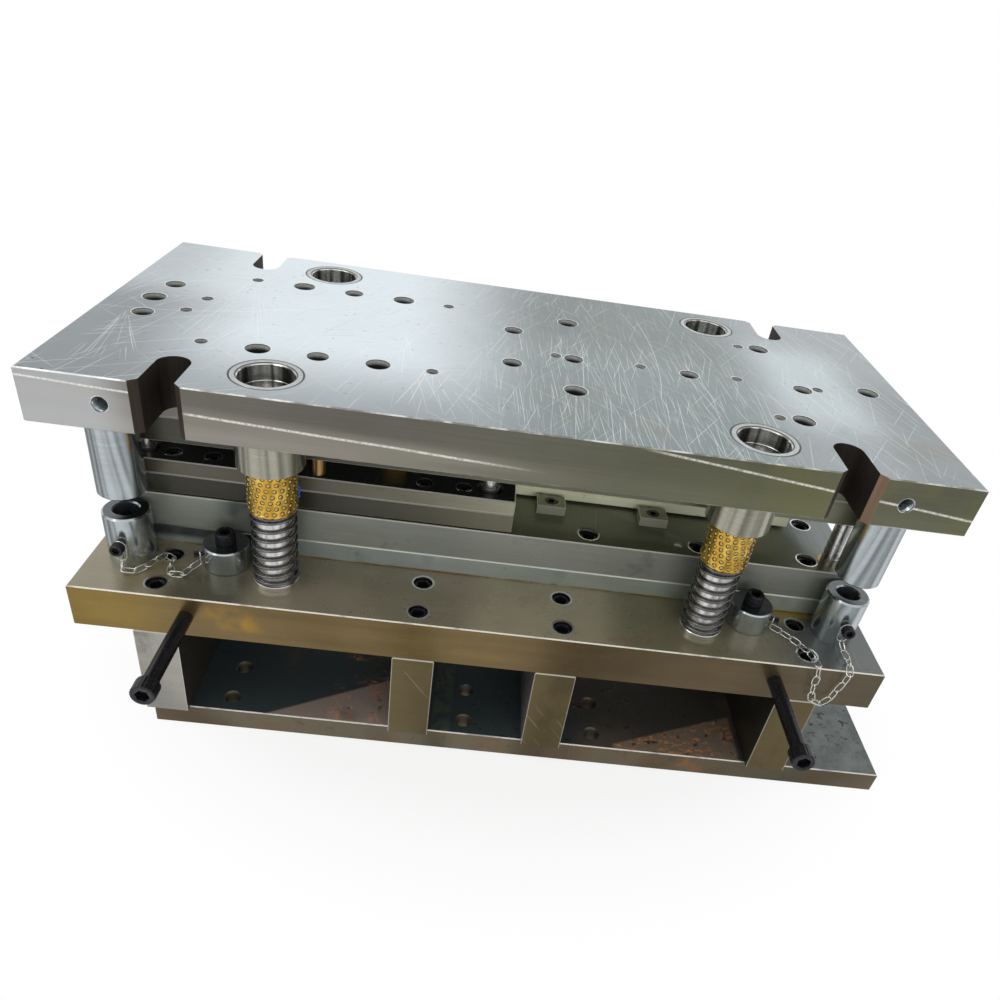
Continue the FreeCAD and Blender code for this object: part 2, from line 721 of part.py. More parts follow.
nodes["safety_chain_left"] = make_chain(-1, left_chain_route)
nodes["safety_chain_right"] = make_chain(1, right_chain_route)


# Stripper plates with their bushes and screws
def stripper_cutters(screws, low, high):
    cutters = []
    for x, y in bolt_spots:
        cutters.append(cylinder(bolt_thread, stripper_joint_z - bolt_thread_length, high + 1, x, y))
    for x, y in screws:
        seat = stripper_top - stripper_screw_sink - stripper_screw
        if high == stripper_top:
            cutters += counterbore(stripper_screw, x, y, seat, high, low)
        else:
            cutters.append(cylinder(stripper_screw, high - stripper_screw_grip - 2, high + 1, x, y))
    hole = sub_bush_window if high == stripper_top else sub_bush_diameter
    cutters += [cylinder(hole, low - 1, high + 1, x, y) for x, y in sub_post_spots]
    cutters += slug_holes(low - 1, high + 1, punch_fit)
    return cutters


def make_left_section(low, high):
    solid = plate(-die_plate_length / 2, stripper_split_x, stack_front, stack_rear, low, high)
    return single(cut_all(solid, stripper_cutters(left_stripper_screws, low, high)))


def make_right_section(low, high):
    solid = plate(right_stripper_start_x, right_stripper_end_x, right_stripper_front_y, stack_rear, low, high)
    return single(cut_all(solid, stripper_cutters(right_stripper_screws, low, high)))


nodes["stripper_plate_left"] = make_left_section(stripper_bottom, stripper_joint_z)
nodes["stripper_backing_left"] = make_left_section(stripper_joint_z, stripper_top)
nodes["stripper_plate_right"] = make_right_section(stripper_bottom, stripper_joint_z)
nodes["stripper_backing_right"] = make_right_section(stripper_joint_z, stripper_top)
stripper_seat = stripper_top - stripper_screw_sink - stripper_screw
stripper_cap_screw = socket_screw(stripper_screw, stripper_seat - stripper_joint_z + stripper_screw_grip)
nodes["stripper_screws"] = [
    at(stripper_cap_screw, x, y, stripper_seat) for x, y in left_stripper_screws + right_stripper_screws
]
stripper_bush = cylinder(sub_bush_diameter, stripper_bottom, stripper_joint_z)
stripper_bush = stripper_bush.cut(
    cylinder(sub_post_diameter + 2 * sub_post_fit, stripper_bottom - 1, stripper_joint_z + 1))
stripper_bush_spots = [(x, y) for x, y in sub_post_spots if x < stripper_split_x]
nodes["stripper_bushes"] = [at(single(stripper_bush), x, y) for x, y in stripper_bush_spots]
bolt_seat = upper_shoe_top - bolt_seat_sink


def make_stripper_bolt():
    """A shoulder bolt: its head rests in the upper shoe and its thread ends in the stripper."""
    head = bolt_head_diameter / 2
    shoulder = bolt_shoulder / 2
    thread = bolt_thread / 2
    tip = stripper_joint_z - bolt_thread_length + 2
    profile = ((0, tip), (thread, tip), (thread, stripper_top), (shoulder, stripper_top))
    profile += ((shoulder, bolt_seat), (head, bolt_seat), (head, bolt_seat + bolt_head_height))
    profile += ((0, bolt_seat + bolt_head_height),)
    socket = hexagon(bolt_thread * socket_ratio, bolt_seat + bolt_head_height / 2, bolt_seat + bolt_head_height + 1)
    return single(turned(profile).cut(socket))


stripper_bolt = make_stripper_bolt()
nodes["stripper_bolts"] = [at(stripper_bolt, x, y) for x, y in bolt_spots]
fitting_y = stack_front - fitting_stand_off - fitting_diameter / 2
fitting_low = stripper_joint_z - fitting_height / 4
fitting_body = cylinder(fitting_diameter, fitting_low, fitting_low + fitting_height, fitting_x, fitting_y)
fitting_start = Vector(fitting_x, stack_front, stripper_joint_z + fitting_stem)
stem_rod = rod(fitting_stem, fitting_start, Vector(0, -1, 0), fitting_stand_off + fitting_diameter / 2)
nodes["air_fitting"] = single(fitting_body.fuse(stem_rod).removeSplitter())


# Punch plates, punches and the stripper's guide posts
def punch_plate_cutters(low, high):
    cutters = [cylinder(bolt_shoulder + 2 * bolt_play, low - 1, high + 1, x, y) for x, y in bolt_spots]
    spring_hole = stripper_spring_diameter + 2 * stripper_spring_play
    cutters += [cylinder(spring_hole, low - 1, high + 1, x, y) for x, y in stripper_spring_spots]
    cutters += [cylinder(upper_dowel, low - 1, high + 1, x, y) for x, y in upper_dowels]
    return cutters


def make_punch_backing():
    half_x, half_y = punch_plate_length / 2, punch_plate_width / 2
    solid = plate(-half_x, half_x, -half_y, half_y, holder_top, upper_shoe_bottom)
    cutters = punch_plate_cutters(holder_top, upper_shoe_bottom)
    for x, y in upper_screw_spots:
        cutters.append(cylinder(upper_screw + 2 * screw_play, holder_top - 1, upper_shoe_bottom + 1, x, y))
    return single(cut_all(solid, cutters))


def make_punch_holder():
    half_x, half_y = punch_plate_length / 2, punch_plate_width / 2
    solid = plate(-half_x, half_x, -half_y, half_y, holder_bottom, holder_top)
    cutters = punch_plate_cutters(holder_bottom, holder_top)
    for x, y in upper_screw_spots:
        cutters.append(cylinder(upper_screw, holder_top - upper_screw_grip - 2, holder_top + 1, x, y))
    for x, y in sub_post_spots:
        cutters.append(cylinder(sub_post_diameter, holder_bottom - 1, holder_top + 1, x, y))
        cutters.append(cylinder(sub_post_head_diameter, holder_top - sub_post_head_height, holder_top + 1, x, y))
    cutters += slug_holes(holder_bottom - 1, holder_top + 1, 0.0)
    head = punch_diameter + 2 * punch_head_play
    cutters += [cylinder(head, holder_top - punch_head_height, holder_top + 1, x, y) for x, y in punch_spots]
    return single(cut_all(solid, cutters))


def make_sub_post():
    """A headed guide post with oil grooves near its lower end."""
    radius = sub_post_diameter / 2
    head = sub_post_head_diameter / 2
    low = die_top - sub_post_entry
    profile = [(0, low), (radius - 1, low), (radius, low + 1)]
    for i in range(groove_count):
        middle = die_top + groove_pitch * (i + 1)
        profile += [(radius, middle - groove_depth), (radius - groove_depth, middle), (radius, middle + groove_depth)]
    profile += [(radius, holder_top - sub_post_head_height), (head, holder_top - sub_post_head_height)]
    profile += [(head, holder_top), (0, holder_top)]
    return turned(profile)


punch_tip = die_top + closing_stroke - punch_bite
nodes["punch_backing_plate"] = make_punch_backing()
nodes["punch_holder_plate"] = make_punch_holder()
nodes["stripper_guide_posts"] = [at(make_sub_post(), x, y) for x, y in sub_post_spots]
punch_head_radius = punch_diameter / 2 + punch_head_play
round_punch = turned((
    (0, punch_tip), (punch_diameter / 2, punch_tip), (punch_diameter / 2, holder_top - punch_head_height),
    (punch_head_radius, holder_top - punch_head_height), (punch_head_radius, holder_top), (0, holder_top),
))
nodes["round_punches"] = [at(round_punch, x, y) for x, y in punch_spots]
nodes["blade_punches"] = [
    box(x - blade_length / 2, x + blade_length / 2, y - blade_width / 2, y + blade_width / 2, punch_tip, holder_top)
    for x, y in blade_spots
]
spring_low, spring_high = stripper_top, upper_shoe_bottom
stripper_spring = cylinder(stripper_spring_diameter, spring_low, spring_high)
stripper_spring = stripper_spring.cut(cylinder(stripper_spring_bore, spring_low - 1, spring_high + 1))
nodes["stripper_springs"] = [at(single(stripper_spring), x, y) for x, y in stripper_spring_spots]


# Upper shoe with its open clamping slots, screws and dowels
def slot_cutter(side_x, side_y):
    """An open U slot for a clamping bolt, its mouth flared at 45 degrees."""
    x = side_x * slot_x
    inner = side_y * (shoe_width / 2 - slot_depth + slot_width / 2)
    outer = side_y * (shoe_width / 2)
    half = slot_width / 2
    low, high = upper_shoe_bottom - 1, upper_shoe_top + 1
    y0, y1 = sorted((inner, outer + side_y))
    body = box(x - half, x + half, y0, y1, low, high).fuse(cylinder(slot_width, low, high, x, inner))
    wide = half + slot_mouth_chamfer + 1
    mouth_y = outer - side_y * slot_mouth_chamfer
    mouth = [Vector(x - wide, outer + side_y, low), Vector(x + wide, outer + side_y, low)]
    mouth += [Vector(x + half, mouth_y, low), Vector(x - half, mouth_y, low)]
    wedge = Part.Face(Part.makePolygon(mouth + mouth[:1])).extrude(Vector(0, 0, high - low))
    return body.fuse(wedge)


upper_screw_seat = upper_shoe_top - upper_screw_sink - upper_screw


def make_upper_shoe():
    solid = plate(-shoe_length / 2, shoe_length / 2, shoe_front, -shoe_front, upper_shoe_bottom, upper_shoe_top)
    cutters = [slot_cutter(sx, sy) for _, sx, sy in corners]
    for _, sx, sy in corners:
        low, high = upper_shoe_bottom - 1, upper_shoe_top + 1
        cutters.append(cylinder(bush_diameter, low, high, sx * post_x, sy * post_y))
        grip_top = upper_shoe_bottom + limit_screw_grip + 3
        cutters.append(cylinder(limit_screw, low, grip_top, sx * limit_x, sy * limit_y))
        start = Vector(sx * lift_hole_x, sy * (shoe_width / 2 + 1), (upper_shoe_bottom + upper_shoe_top) / 2)
        cutters.append(rod(lift_hole_diameter, start, Vector(0, -sy, 0), lift_hole_depth + 1))
    for x, y in upper_screw_spots:
        cutters += counterbore(upper_screw, x, y, upper_screw_seat, upper_shoe_top, upper_shoe_bottom)
    for x, y in bolt_spots:
        wide = bolt_head_diameter + 4 * bolt_play
        cutters.append(cylinder(wide, bolt_seat, upper_shoe_top + 1, x, y))
        cutters.append(cylinder(bolt_shoulder + 2 * bolt_play, upper_shoe_bottom - 1, bolt_seat, x, y))
    cutters += [cylinder(upper_dowel, upper_shoe_bottom - 1, upper_shoe_top + 1, x, y) for x, y in upper_dowels]
    return single(cut_all(solid, cutters))


nodes["upper_shoe"] = make_upper_shoe()
upper_cap_screw = socket_screw(upper_screw, upper_screw_seat - holder_top + upper_screw_grip)
nodes["upper_shoe_screws"] = [at(upper_cap_screw, x, y, upper_screw_seat) for x, y in upper_screw_spots]
dowel_low, dowel_high = holder_bottom + 3, upper_shoe_bottom + upper_dowel_rise
nodes["upper_dowels"] = [cylinder(upper_dowel, dowel_low, dowel_high, x, y) for x, y in upper_dowels]


# One file for each sub-part
os.makedirs("parts", exist_ok=True)
for name, made in nodes.items():
    solid_or_group = Part.makeCompound(made) if isinstance(made, list) else made
    solid_or_group.exportStep(f"parts/{name}.step")
print(len(nodes), "sub-parts,", sum(len(m) if isinstance(m, list) else 1 for m in nodes.values()), "solids")
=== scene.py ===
# %% [markdown]
# A press die set: two thick ground shoes that slide on four ball-guided posts, with a die
# and a stripper between them. The CAD model gives every size, so it is loaded first and
# never moved. The flat plates keep their CAD meshes and get new finishes. The round and
# repeated pieces, which are where a faceted mesh shows, are turned again at a finer step.
# %% Load the frame
import bpy
import bmesh
import math
import numpy
import random
from mathutils import Matrix, Vector


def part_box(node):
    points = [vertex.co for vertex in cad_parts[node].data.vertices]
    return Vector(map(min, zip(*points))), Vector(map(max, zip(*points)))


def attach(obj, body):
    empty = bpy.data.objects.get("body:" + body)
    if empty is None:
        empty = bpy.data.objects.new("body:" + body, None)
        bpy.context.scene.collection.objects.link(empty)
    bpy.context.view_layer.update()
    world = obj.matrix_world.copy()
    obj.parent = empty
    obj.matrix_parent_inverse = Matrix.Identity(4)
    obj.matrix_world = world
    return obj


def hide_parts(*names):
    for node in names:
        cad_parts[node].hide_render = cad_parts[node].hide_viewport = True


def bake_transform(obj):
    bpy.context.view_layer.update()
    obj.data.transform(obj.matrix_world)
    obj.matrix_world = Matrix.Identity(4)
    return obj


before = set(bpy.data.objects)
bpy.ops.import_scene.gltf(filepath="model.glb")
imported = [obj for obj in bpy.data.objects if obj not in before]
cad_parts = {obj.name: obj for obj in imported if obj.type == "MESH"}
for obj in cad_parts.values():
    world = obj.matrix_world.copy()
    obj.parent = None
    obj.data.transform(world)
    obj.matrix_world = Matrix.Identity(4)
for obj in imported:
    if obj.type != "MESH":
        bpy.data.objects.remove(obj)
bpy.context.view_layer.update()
MM = 0.001


def placed(name, data):
    """A new object in the scene."""
    thing = bpy.data.objects.new(name, data)
    bpy.context.collection.objects.link(thing)
    return thing


print("nodes:", len(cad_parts))

# %% [markdown]
# The picture was taken from above the left front corner, close to the set, with a wide lens.
# A camera could be aimed by hand, but the edges of the shoes fix it exactly: these are the
# place and the three axes that line up the plates' corners with the picture. The shift is
# what is left over because the set isn't in the middle of the frame.
# %% Camera
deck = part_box("lower_shoe")[1][2]
right_way = Vector((0.9908318, 0.01141653, 0.13461798))
down_way = Vector((0.11632879, -0.57879741, -0.80713145))
into_way = Vector((0.0687019, 0.81539145, -0.57481895))
camera_data = bpy.data.cameras.new("camera")
camera_data.sensor_fit = "HORIZONTAL"
camera_data.sensor_width = 36
camera_data.lens = 28.39
camera_data.shift_x = -0.017
camera_data.shift_y = 0.0521
camera_data.clip_end = 20
camera = placed("camera", camera_data)
turn = Matrix((right_way, -down_way, -into_way)).transposed()
camera.matrix_world = Matrix.Translation((-0.03399, -0.72673, 0.48062 + deck)) @ turn.to_4x4()
bpy.context.scene.camera = camera
print("camera at", tuple(round(v, 3) for v in camera.location))

# %% [markdown]
# Finishes are node graphs, and most of their work is arithmetic on masks. Linking Math
# nodes by hand hides that arithmetic, so a small class wraps a socket and lets Python write
# it: `1 - mask * 0.5` adds the nodes. Every other node comes from one method that takes
# its type, its settings and what goes into its sockets.
# %% Shader arithmetic
class Level:
    """A number that varies over a surface."""

    def __init__(self, finish, socket):
        self.finish = finish
        self.socket = socket


def method_for(operation, swapped=False):
    """A method that adds one Math node; swapped puts the level itself last."""
    def method(level, *others):
        values = (*others, level) if swapped else (level, *others)
        return level.finish.maths(operation, *values)
    return method


for name, operation in (("add", "ADD"), ("sub", "SUBTRACT"), ("mul", "MULTIPLY"), ("truediv", "DIVIDE")):
    setattr(Level, f"__{name}__", method_for(operation))
    setattr(Level, f"__r{name}__", method_for(operation, swapped=True))
for name, operation in (
    ("__pow__", "POWER"), ("__abs__", "ABSOLUTE"), ("over", "MAXIMUM"), ("under", "MINIMUM"),
):
    setattr(Level, name, method_for(operation))


class Finish:
    """A material under construction."""

    def __init__(self, name, colour):
        self.material = bpy.data.materials.new(name)
        self.material.use_nodes = True
        self.material.diffuse_color = (*colour, 1)
        self.tree = self.material.node_tree
        self.tree.nodes.clear()
        self.place = self.node("ShaderNodeTexCoord").outputs["Object"]
        self.facing = self.node("ShaderNodeNewGeometry").outputs["True Normal"]
        self.x, self.y, self.z = self.split(self.place)

    def node(self, kind, settings=None, inputs=None):
        made = self.tree.nodes.new(kind)
        for key, value in (settings or {}).items():
            setattr(made, key, value)
        for key, value in (inputs or {}).items():
            self.feed(made.inputs[key], value)
        return made

    def feed(self, socket, value):
        if isinstance(value, Level):
            value = value.socket
        if isinstance(value, bpy.types.NodeSocket):
            self.tree.links.new(value, socket)
        else:
            socket.default_value = value

    def maths(self, operation, *values):
        made = self.node("ShaderNodeMath", {"operation": operation}, dict(enumerate(values)))
        return Level(self, made.outputs[0])

    def split(self, vector):
        made = self.node("ShaderNodeSeparateXYZ", inputs={0: vector})
        return [Level(self, made.outputs[i]) for i in range(3)]

    def point(self, x, y, z):
        return self.node("ShaderNodeCombineXYZ", inputs={0: x, 1: y, 2: z}).outputs[0]

    def length(self, dx, dy):
        return self.maths("SQRT", dx * dx + dy * dy)

    def ray(self, *kinds):
        """1 for rays of any of these kinds."""
        paths = self.node("ShaderNodeLightPath").outputs
        found = Level(self, paths[f"Is {kinds[0]} Ray"])
        for kind in kinds[1:]:
            found = found.over(Level(self, paths[f"Is {kind} Ray"]))
        return found

    def ramp(self, value, low, high):
        """0 below low, 1 above high and smooth between; low may be the greater."""
        inputs = {"Value": value, "From Min": low, "From Max": high}
        made = self.node("ShaderNodeMapRange", {"interpolation_type": "SMOOTHSTEP"}, inputs)
        return Level(self, made.outputs["Result"])

    def band(self, value, middle, half, soft):
        return self.ramp(abs(value - middle), half + soft, half)

    def stretched(self, scale, turn=0.0, shift=(0, 0, 0)):
        inputs = {"Vector": self.place, "Location": shift, "Rotation": (0, 0, turn), "Scale": scale}
        return self.node("ShaderNodeMapping", {"vector_type": "POINT"}, inputs).outputs[0]

    def noise(self, size, detail=2.0, rough=0.5, vector=None):
        inputs = {"Vector": vector or self.place, "Scale": size, "Detail": detail, "Roughness": rough}
        return Level(self, self.node("ShaderNodeTexNoise", inputs=inputs).outputs["Fac"])

    def patches(self, size, detail, rough, low, high, vector=None):
        """Noise with soft steps, which leaves islands of 1 in a field of 0."""
        return self.ramp(self.noise(size, detail, rough, vector), low, high)

    def chance(self, first, second, seed):
        """Three random numbers for each pair of whole numbers."""
        vector = self.point(first, second, seed)
        made = self.node("ShaderNodeTexWhiteNoise", {"noise_dimensions": "3D"}, {"Vector": vector})
        return self.split(made.outputs["Color"])

    def mix(self, amount, first, second):
        settings = {"data_type": "RGBA", "blend_type": "MIX", "clamp_factor": True}
        return self.blend(settings, amount, first, second)

    def coats(self, colour, *layers):
        """Each layer is a mask and the colour that it lays over those before."""
        for mask, layer in layers:
            colour = self.mix(mask, colour, layer)
        return colour

    def tint(self, amount, first, second):
        return self.blend({"data_type": "RGBA", "blend_type": "MULTIPLY"}, amount, first, second)

    def blend(self, settings, amount, first, second):
        first, second = [(*c, 1) if isinstance(c, tuple) else c for c in (first, second)]
        made = self.node("ShaderNodeMix", settings, {"Factor": amount})
        self.feed(made.inputs[6], first)
        self.feed(made.inputs[7], second)
        return made.outputs[2]

    def grey(self, level):
        return self.node("ShaderNodeCombineColor", inputs={0: level, 1: level, 2: level}).outputs[0]

    def bump(self, height, depth, strength=1.0):
        inputs = {"Height": height, "Distance": depth, "Strength": strength}
        return self.node("ShaderNodeBump", inputs=inputs).outputs[0]

    def done(self, colour, roughness, metallic, normal=None, coat=0.0):
        inputs = {"Base Color": (*colour, 1) if isinstance(colour, tuple) else colour}
        inputs.update({"Roughness": roughness, "Metallic": metallic, "Coat Weight": coat})
        if normal is not None:
            inputs["Normal"] = normal
        shader = self.node("ShaderNodeBsdfPrincipled", inputs=inputs)
        self.node("ShaderNodeOutputMaterial", inputs={"Surface": shader.outputs[0]})
        return self.material


# %% [markdown]
# A ground plate carries the marks of how it was made and kept: fine parallel lines from
# the grinding wheel, thin bright scratches where tools were dragged over it, and stains
# of oil. Each of the next helpers returns a mask from 0 to 1 that several finishes share.
# Noise stretched a hundredfold along one direction gives the grinding lines. A scratch is
# straight, thin and has two ends, which noise can't give: for those the plate is divided
# into lanes and each lane into lengths, and a random number for each decides whether it
# holds a scratch, where it starts and how bright it is. Lanes of equal angle about a point
# give a fan, and lanes of equal radius about a far point give arcs.
# %% Marks on ground steel
def grinding(f, turn=0.0, fine=1400):
    along = f.stretched((fine * 0.012, fine, fine), turn)
    return f.noise(1.0, 3.0, 0.6, along)


def strokes(f, u, v, apart, length, seed, share, width):
    """Straight strokes along u, in lanes across v; share is the part of them that is drawn."""
    lane = f.maths("FLOOR", v / apart)
    inside = v / apart - lane
    offset, start, slant = f.chance(lane, 0.5, seed)
    along = u / length + start * 7
    part = f.maths("FLOOR", along)
    rest = along - part
    drawn, begin, strength = f.chance(lane, part, seed + 0.37)
    middle = 0.25 + 0.5 * offset + (rest - 0.5) * (slant - 0.5) * 0.5
    line = f.ramp(abs(inside - middle), width / apart, width / apart * 0.3)
    begin = begin * 0.6
    ends = f.ramp(rest, begin, begin + 0.1) * f.ramp(rest, 1.0, 0.75)
    return line * ends * f.ramp(drawn, 1 - share, 1.002 - share) * (0.35 + 0.65 * strength)


def leaning(f, turn, apart, length, seed, share=0.4, width=0.00045):
    """Strokes that all lean nearly the same way."""
    u = f.x * math.cos(turn) + f.y * math.sin(turn)
    v = f.y * math.cos(turn) - f.x * math.sin(turn)
    return strokes(f, u, v, apart, length, seed, share, width)


def about(f, x, y, turn):
    """Distance from a point, and angle about it measured from turn."""
    dx, dy = f.x - x, f.y - y
    ahead = dx * math.cos(turn) + dy * math.sin(turn)
    aside = dy * math.cos(turn) - dx * math.sin(turn)
    return f.length(dx, dy), f.maths("ARCTAN2", aside, ahead)


def fan(f, x, y, turn, spread, reach, seed, step=0.035, share=0.6):
    """Scratches that run out from one point, as from the corner of a block that was turned."""
    away, angle = about(f, x, y, turn)
    inside = f.ramp(abs(angle), spread, spread * 0.8) * f.ramp(away, reach, reach * 0.7)
    return strokes(f, away, angle, step, reach * 0.8, seed, share, 0.00045 / away) * inside


def arc(f, x, y, radius, near, far):
    """Part of a circle about a point, between two heights of y."""
    line = f.ramp(abs(f.length(f.x - x, f.y - y) - radius), 0.0005, 0.00015)
    return line * f.ramp(f.y, near, near + 0.01) * f.ramp(f.y, far, far - 0.01)


def shoe_scratches(f):
    """The marks on the upper shoe, laid out as they lie on the real one."""
    middle = f.band(f.x, 0.1, 0.1, 0.06)
    front = f.ramp(f.y, 0.09, -0.01)
    left = f.ramp(f.x, -0.02, -0.1)
    marks = arc(f, -0.4, 0.3, 0.336, -0.15, 0.13) * 0.8 + arc(f, -0.52, 0.02, 0.652, -0.08, 0.125) * 0.9
    for values in (
        (-0.111, -0.006, -1.42, 0.4, 0.18, 1.3), (-0.08, -0.07, -1.36, 0.55, 0.12, 2.3, 0.05),
        (-0.277, 0.095, -1.38, 0.42, 0.2, 3.3), (-0.352, -0.04, -1.35, 0.3, 0.12, 4.3, 0.045, 0.7),
    ):
        marks = marks + fan(f, *values)
    for strength, *values in (
        (middle * front, 1.64, 0.0032, 0.075, 5.1, 0.5, 0.0004),
        (middle * front, 1.52, 0.005, 0.12, 6.1, 0.5),
        (middle * 0.5, 1.6, 0.0014, 0.05, 7.1, 0.45, 0.0003),
        (f.ramp(f.x, 0.0, 0.1), 1.78, 0.007, 0.13, 8.1, 0.45),
        (f.ramp(f.x, 0.22, 0.32), 1.95, 0.006, 0.1, 9.1, 0.35),
        (0.8, 1.33, 0.007, 0.11, 10.1, 0.35), (0.7, 1.02, 0.009, 0.09, 11.1, 0.3),
        (left, 0.55, 0.008, 0.1, 12.1, 0.35), (0.7, 2.45, 0.012, 0.07, 13.1, 0.3),
    ):
        marks = marks + leaning(f, *values) * strength
    return marks.under(1.0)


def plain_scratches(f):
    crossing = leaning(f, 0.35, 0.011, 0.06, 8.1, 0.3) * 0.7
    return (leaning(f, 1.45, 0.009, 0.07, 3.7, 0.35) + crossing).under(1.0)


def facing_up(f):
    return f.ramp(f.split(f.facing)[2], 0.93, 0.97)


def on_chamfer(f):
    """1 on the small chamfers that run round a plate's top and bottom edges."""
    slope = abs(f.split(f.facing)[2])
    return f.ramp(slope, 0.25, 0.35) * f.ramp(slope, 0.93, 0.87)


# %% [markdown]
# The upper shoe is the largest face in view. Its top is freshly ground, bright and bluish,
# crossed by many fine white scratches, and its broad lighter and darker bands and the glint at
# its right are painted reflections. Its front is a warmer, darker grey, dulled partly by
# handling and oil and partly by painted shade, with thin painted highlights across it and a
# painted highlight at its left end. The clamping slots were flame cut and milled, and are
# brown, with painted shade deep inside, and the walls of the holes carry painted highlights
# and shade. One finish covers all of it and picks by which way the surface faces and where it
# is, because a mesh split into three materials would need its faces edited, and a CAD node's
# mesh is kept.
# %% Upper shoe finish
POST_X, POST_Y = 205.0, 135.0
BUSH_RADIUS, BORE_RADIUS = 29.0, 22.5
SHOE_HALF = 177.5
SLOT_X = 277.5


def make_upper_shoe_top(f, cloud, cuts, lines):
    soft = f.noise(2.2, 1.0, 0.5, f.stretched((1, 1, 1), 0, (4.1, 2.3, 0)))
    # The broad bright band, the dim band, the darker rear, the darker left and right front ends, the lighter
    # left rear and the glint at the right, with their tints, are painted reflections.
    bright = f.band(f.x + f.y * 0.1, -0.175, 0.055, 0.135) * f.ramp(f.y, -0.19, -0.05)
    painted_dim_band = f.band(f.x, 0.11, 0.07, 0.09)
    rear = f.ramp(f.y, -0.02, 0.07)
    left = f.ramp(f.x, -0.24, -0.32)
    glint = f.band(f.x, 0.285, 0.015, 0.06) * f.band(f.y, 0.0, 0.05, 0.09)
    light = 0.375 + 0.42 * bright - 0.1 * painted_dim_band - 0.06 * painted_dim_band * rear + 0.22 * glint
    light = light + left * (0.25 * rear - 0.12) - 0.07 * f.ramp(f.x, 0.3, 0.34) * (1 - rear)
    light = light + (cloud - 0.5) * 0.2 + (soft - 0.5) * 0.12 + (lines - 0.5) * 0.1
    hue = f.mix(painted_dim_band.over(glint * 0.5), (0.93, 1.03, 1.08), (0.86, 1.03, 1.03))
    top = f.tint(1.0, hue, f.grey(light))
    brown = f.patches(9.0, 4.0, 0.6, 0.56, 0.72) * f.ramp(f.x, -0.05, 0.05)
    top = f.mix(brown * 0.35, top, (0.24, 0.22, 0.14))
    top = f.mix(cuts * 0.55, top, (0.96, 1.0, 1.0))
    dents = leaning(f, 1.15, 0.01, 0.06, 14.1, 0.3, 0.0004)
    dents = dents.over(leaning(f, 0.25, 0.013, 0.05, 15.1, 0.25, 0.0004))
    top = f.mix(dents * 0.35, top, (0.22, 0.24, 0.24))
    specks = f.patches(170.0, 2.0, 0.6, 0.66, 0.74)
    top = f.mix(specks * 0.3, top, (0.12, 0.12, 0.1))
    for x, y in ((-0.3736, -0.159), (-0.3745, -0.176), (-0.359, -0.175)):
        top = f.mix(f.ramp(f.length(f.x - x, f.y - y), 0.0012, 0.0008), top, (0.02, 0.02, 0.02))
    from_bush = f.length(abs(f.x) - POST_X * MM, abs(f.y) - POST_Y * MM)
    return f.mix(f.band(from_bush, (BUSH_RADIUS + 0.4) * MM, 0.00035, 0.0004) * 0.9, top, (0.03, 0.03, 0.03))


def make_upper_shoe_side(f):
    cloud = f.noise(7.0, 4.0, 0.6)
    light = 0.132 + (cloud - 0.5) * 0.09 + (grinding(f, 0.0, 900) - 0.5) * 0.05
    # The lower part of the front, more so at the left, is painted lighter: a painted reflection.
    light = light + f.ramp(f.z, 0.362, 0.342) * (0.03 + 0.11 * f.ramp(f.x, 0.0, -0.14))
    hue = f.mix(f.ramp(f.x, -0.2, 0.2), (1.06, 0.99, 0.86), (0.98, 1.0, 0.66))
    side = f.tint(1.0, f.grey(light), hue)
    # The far left end of the front is a painted highlight.
    side = f.mix(f.ramp(f.x, -0.28, -0.33) * 0.8, side, (0.52, 0.53, 0.55))
    green = f.ramp(f.x, 0.1, 0.24) * f.patches(16.0, 3.0, 0.6, 0.42, 0.62)
    side = f.mix(green * 0.45, side, (0.17, 0.17, 0.06))
    grain = f.patches(600.0, 2.0, 0.6, 0.3, 0.62)
    # The thin pale lines across the front and the soft halo along the upper one are painted highlights.
    wave = 0.0016 * f.noise(9.0, 1.0)
    glow = 0
    for height, x, fall, soft, limit in (
        (0.3588, -0.25, 0.043, 0.0013, f.ramp(f.x, 0.03, -0.06) * f.ramp(f.x, -0.262, -0.25)),
        (0.379, 0.1, 0.1, 0.0013, f.ramp(f.x, 0.09, 0.13)),
        (0.3742, -0.372, 0.04, 0.001, f.ramp(f.x, -0.29, -0.3)),
    ):
        line = f.band(f.z - height + (f.x - x) * fall + wave, 0.0, 0.0003, soft)
        glow = glow + line * limit
    glow = glow * (0.4 + 0.6 * grain) * f.ramp(f.y, -0.17, -0.176)
    halo = f.band(f.z - 0.3588 + (f.x + 0.25) * 0.043, 0.0, 0.001, 0.009) * f.ramp(f.x, 0.05, -0.05)
    side = f.mix(halo * 0.14, side, (0.6, 0.58, 0.5))
    side = f.mix(glow.under(1.0) * 0.85, side, (0.95, 0.93, 0.84))
    in_slot = f.band(abs(f.x), SLOT_X * MM, 0.0198, 0.0004) * f.ramp(abs(f.y), 0.118, 0.119)
    in_slot = in_slot * f.ramp(abs(f.y), 0.17745, 0.1774)
    # Deep in the slots the walls are painted shade, nearly black over their brown. The flared mouths are a
    # lit and a shaded copy of one brown: painted light on the right-hand wall of the right slots and painted
    # shade elsewhere.
    streaks = f.noise(1.0, 3.0, 0.6, f.stretched((240, 240, 14)))
    rust_and_shade = f.mix(streaks, (0.03, 0.022, 0.016), (0.006, 0.005, 0.004))
    lit = f.mix(streaks, (0.3, 0.2, 0.13), (0.11, 0.065, 0.04))
    shaded = f.mix(streaks, (0.05, 0.035, 0.024), (0.02, 0.014, 0.01))
    flare = f.mix(f.ramp(f.x, 0.27, 0.28), shaded, lit)
    side = f.mix(in_slot, side, f.mix(f.ramp(abs(f.y), 0.1712, 0.1718), rust_and_shade, flare))
    bore = f.band(f.x, 0.0, 0.372, 0.002) * f.band(f.y, 0.0, 0.17, 0.003) * (1 - in_slot)
    # The walls of the holes are a painted highlight near the top and painted shade deeper down.
    deep = f.ramp(f.z, 0.3775, 0.3735)
    wall = f.mix(deep, f.mix(streaks, (0.85, 0.88, 0.86), (0.42, 0.45, 0.44)), (0.035, 0.036, 0.036))
    return f.mix(bore, side, wall), in_slot, bore


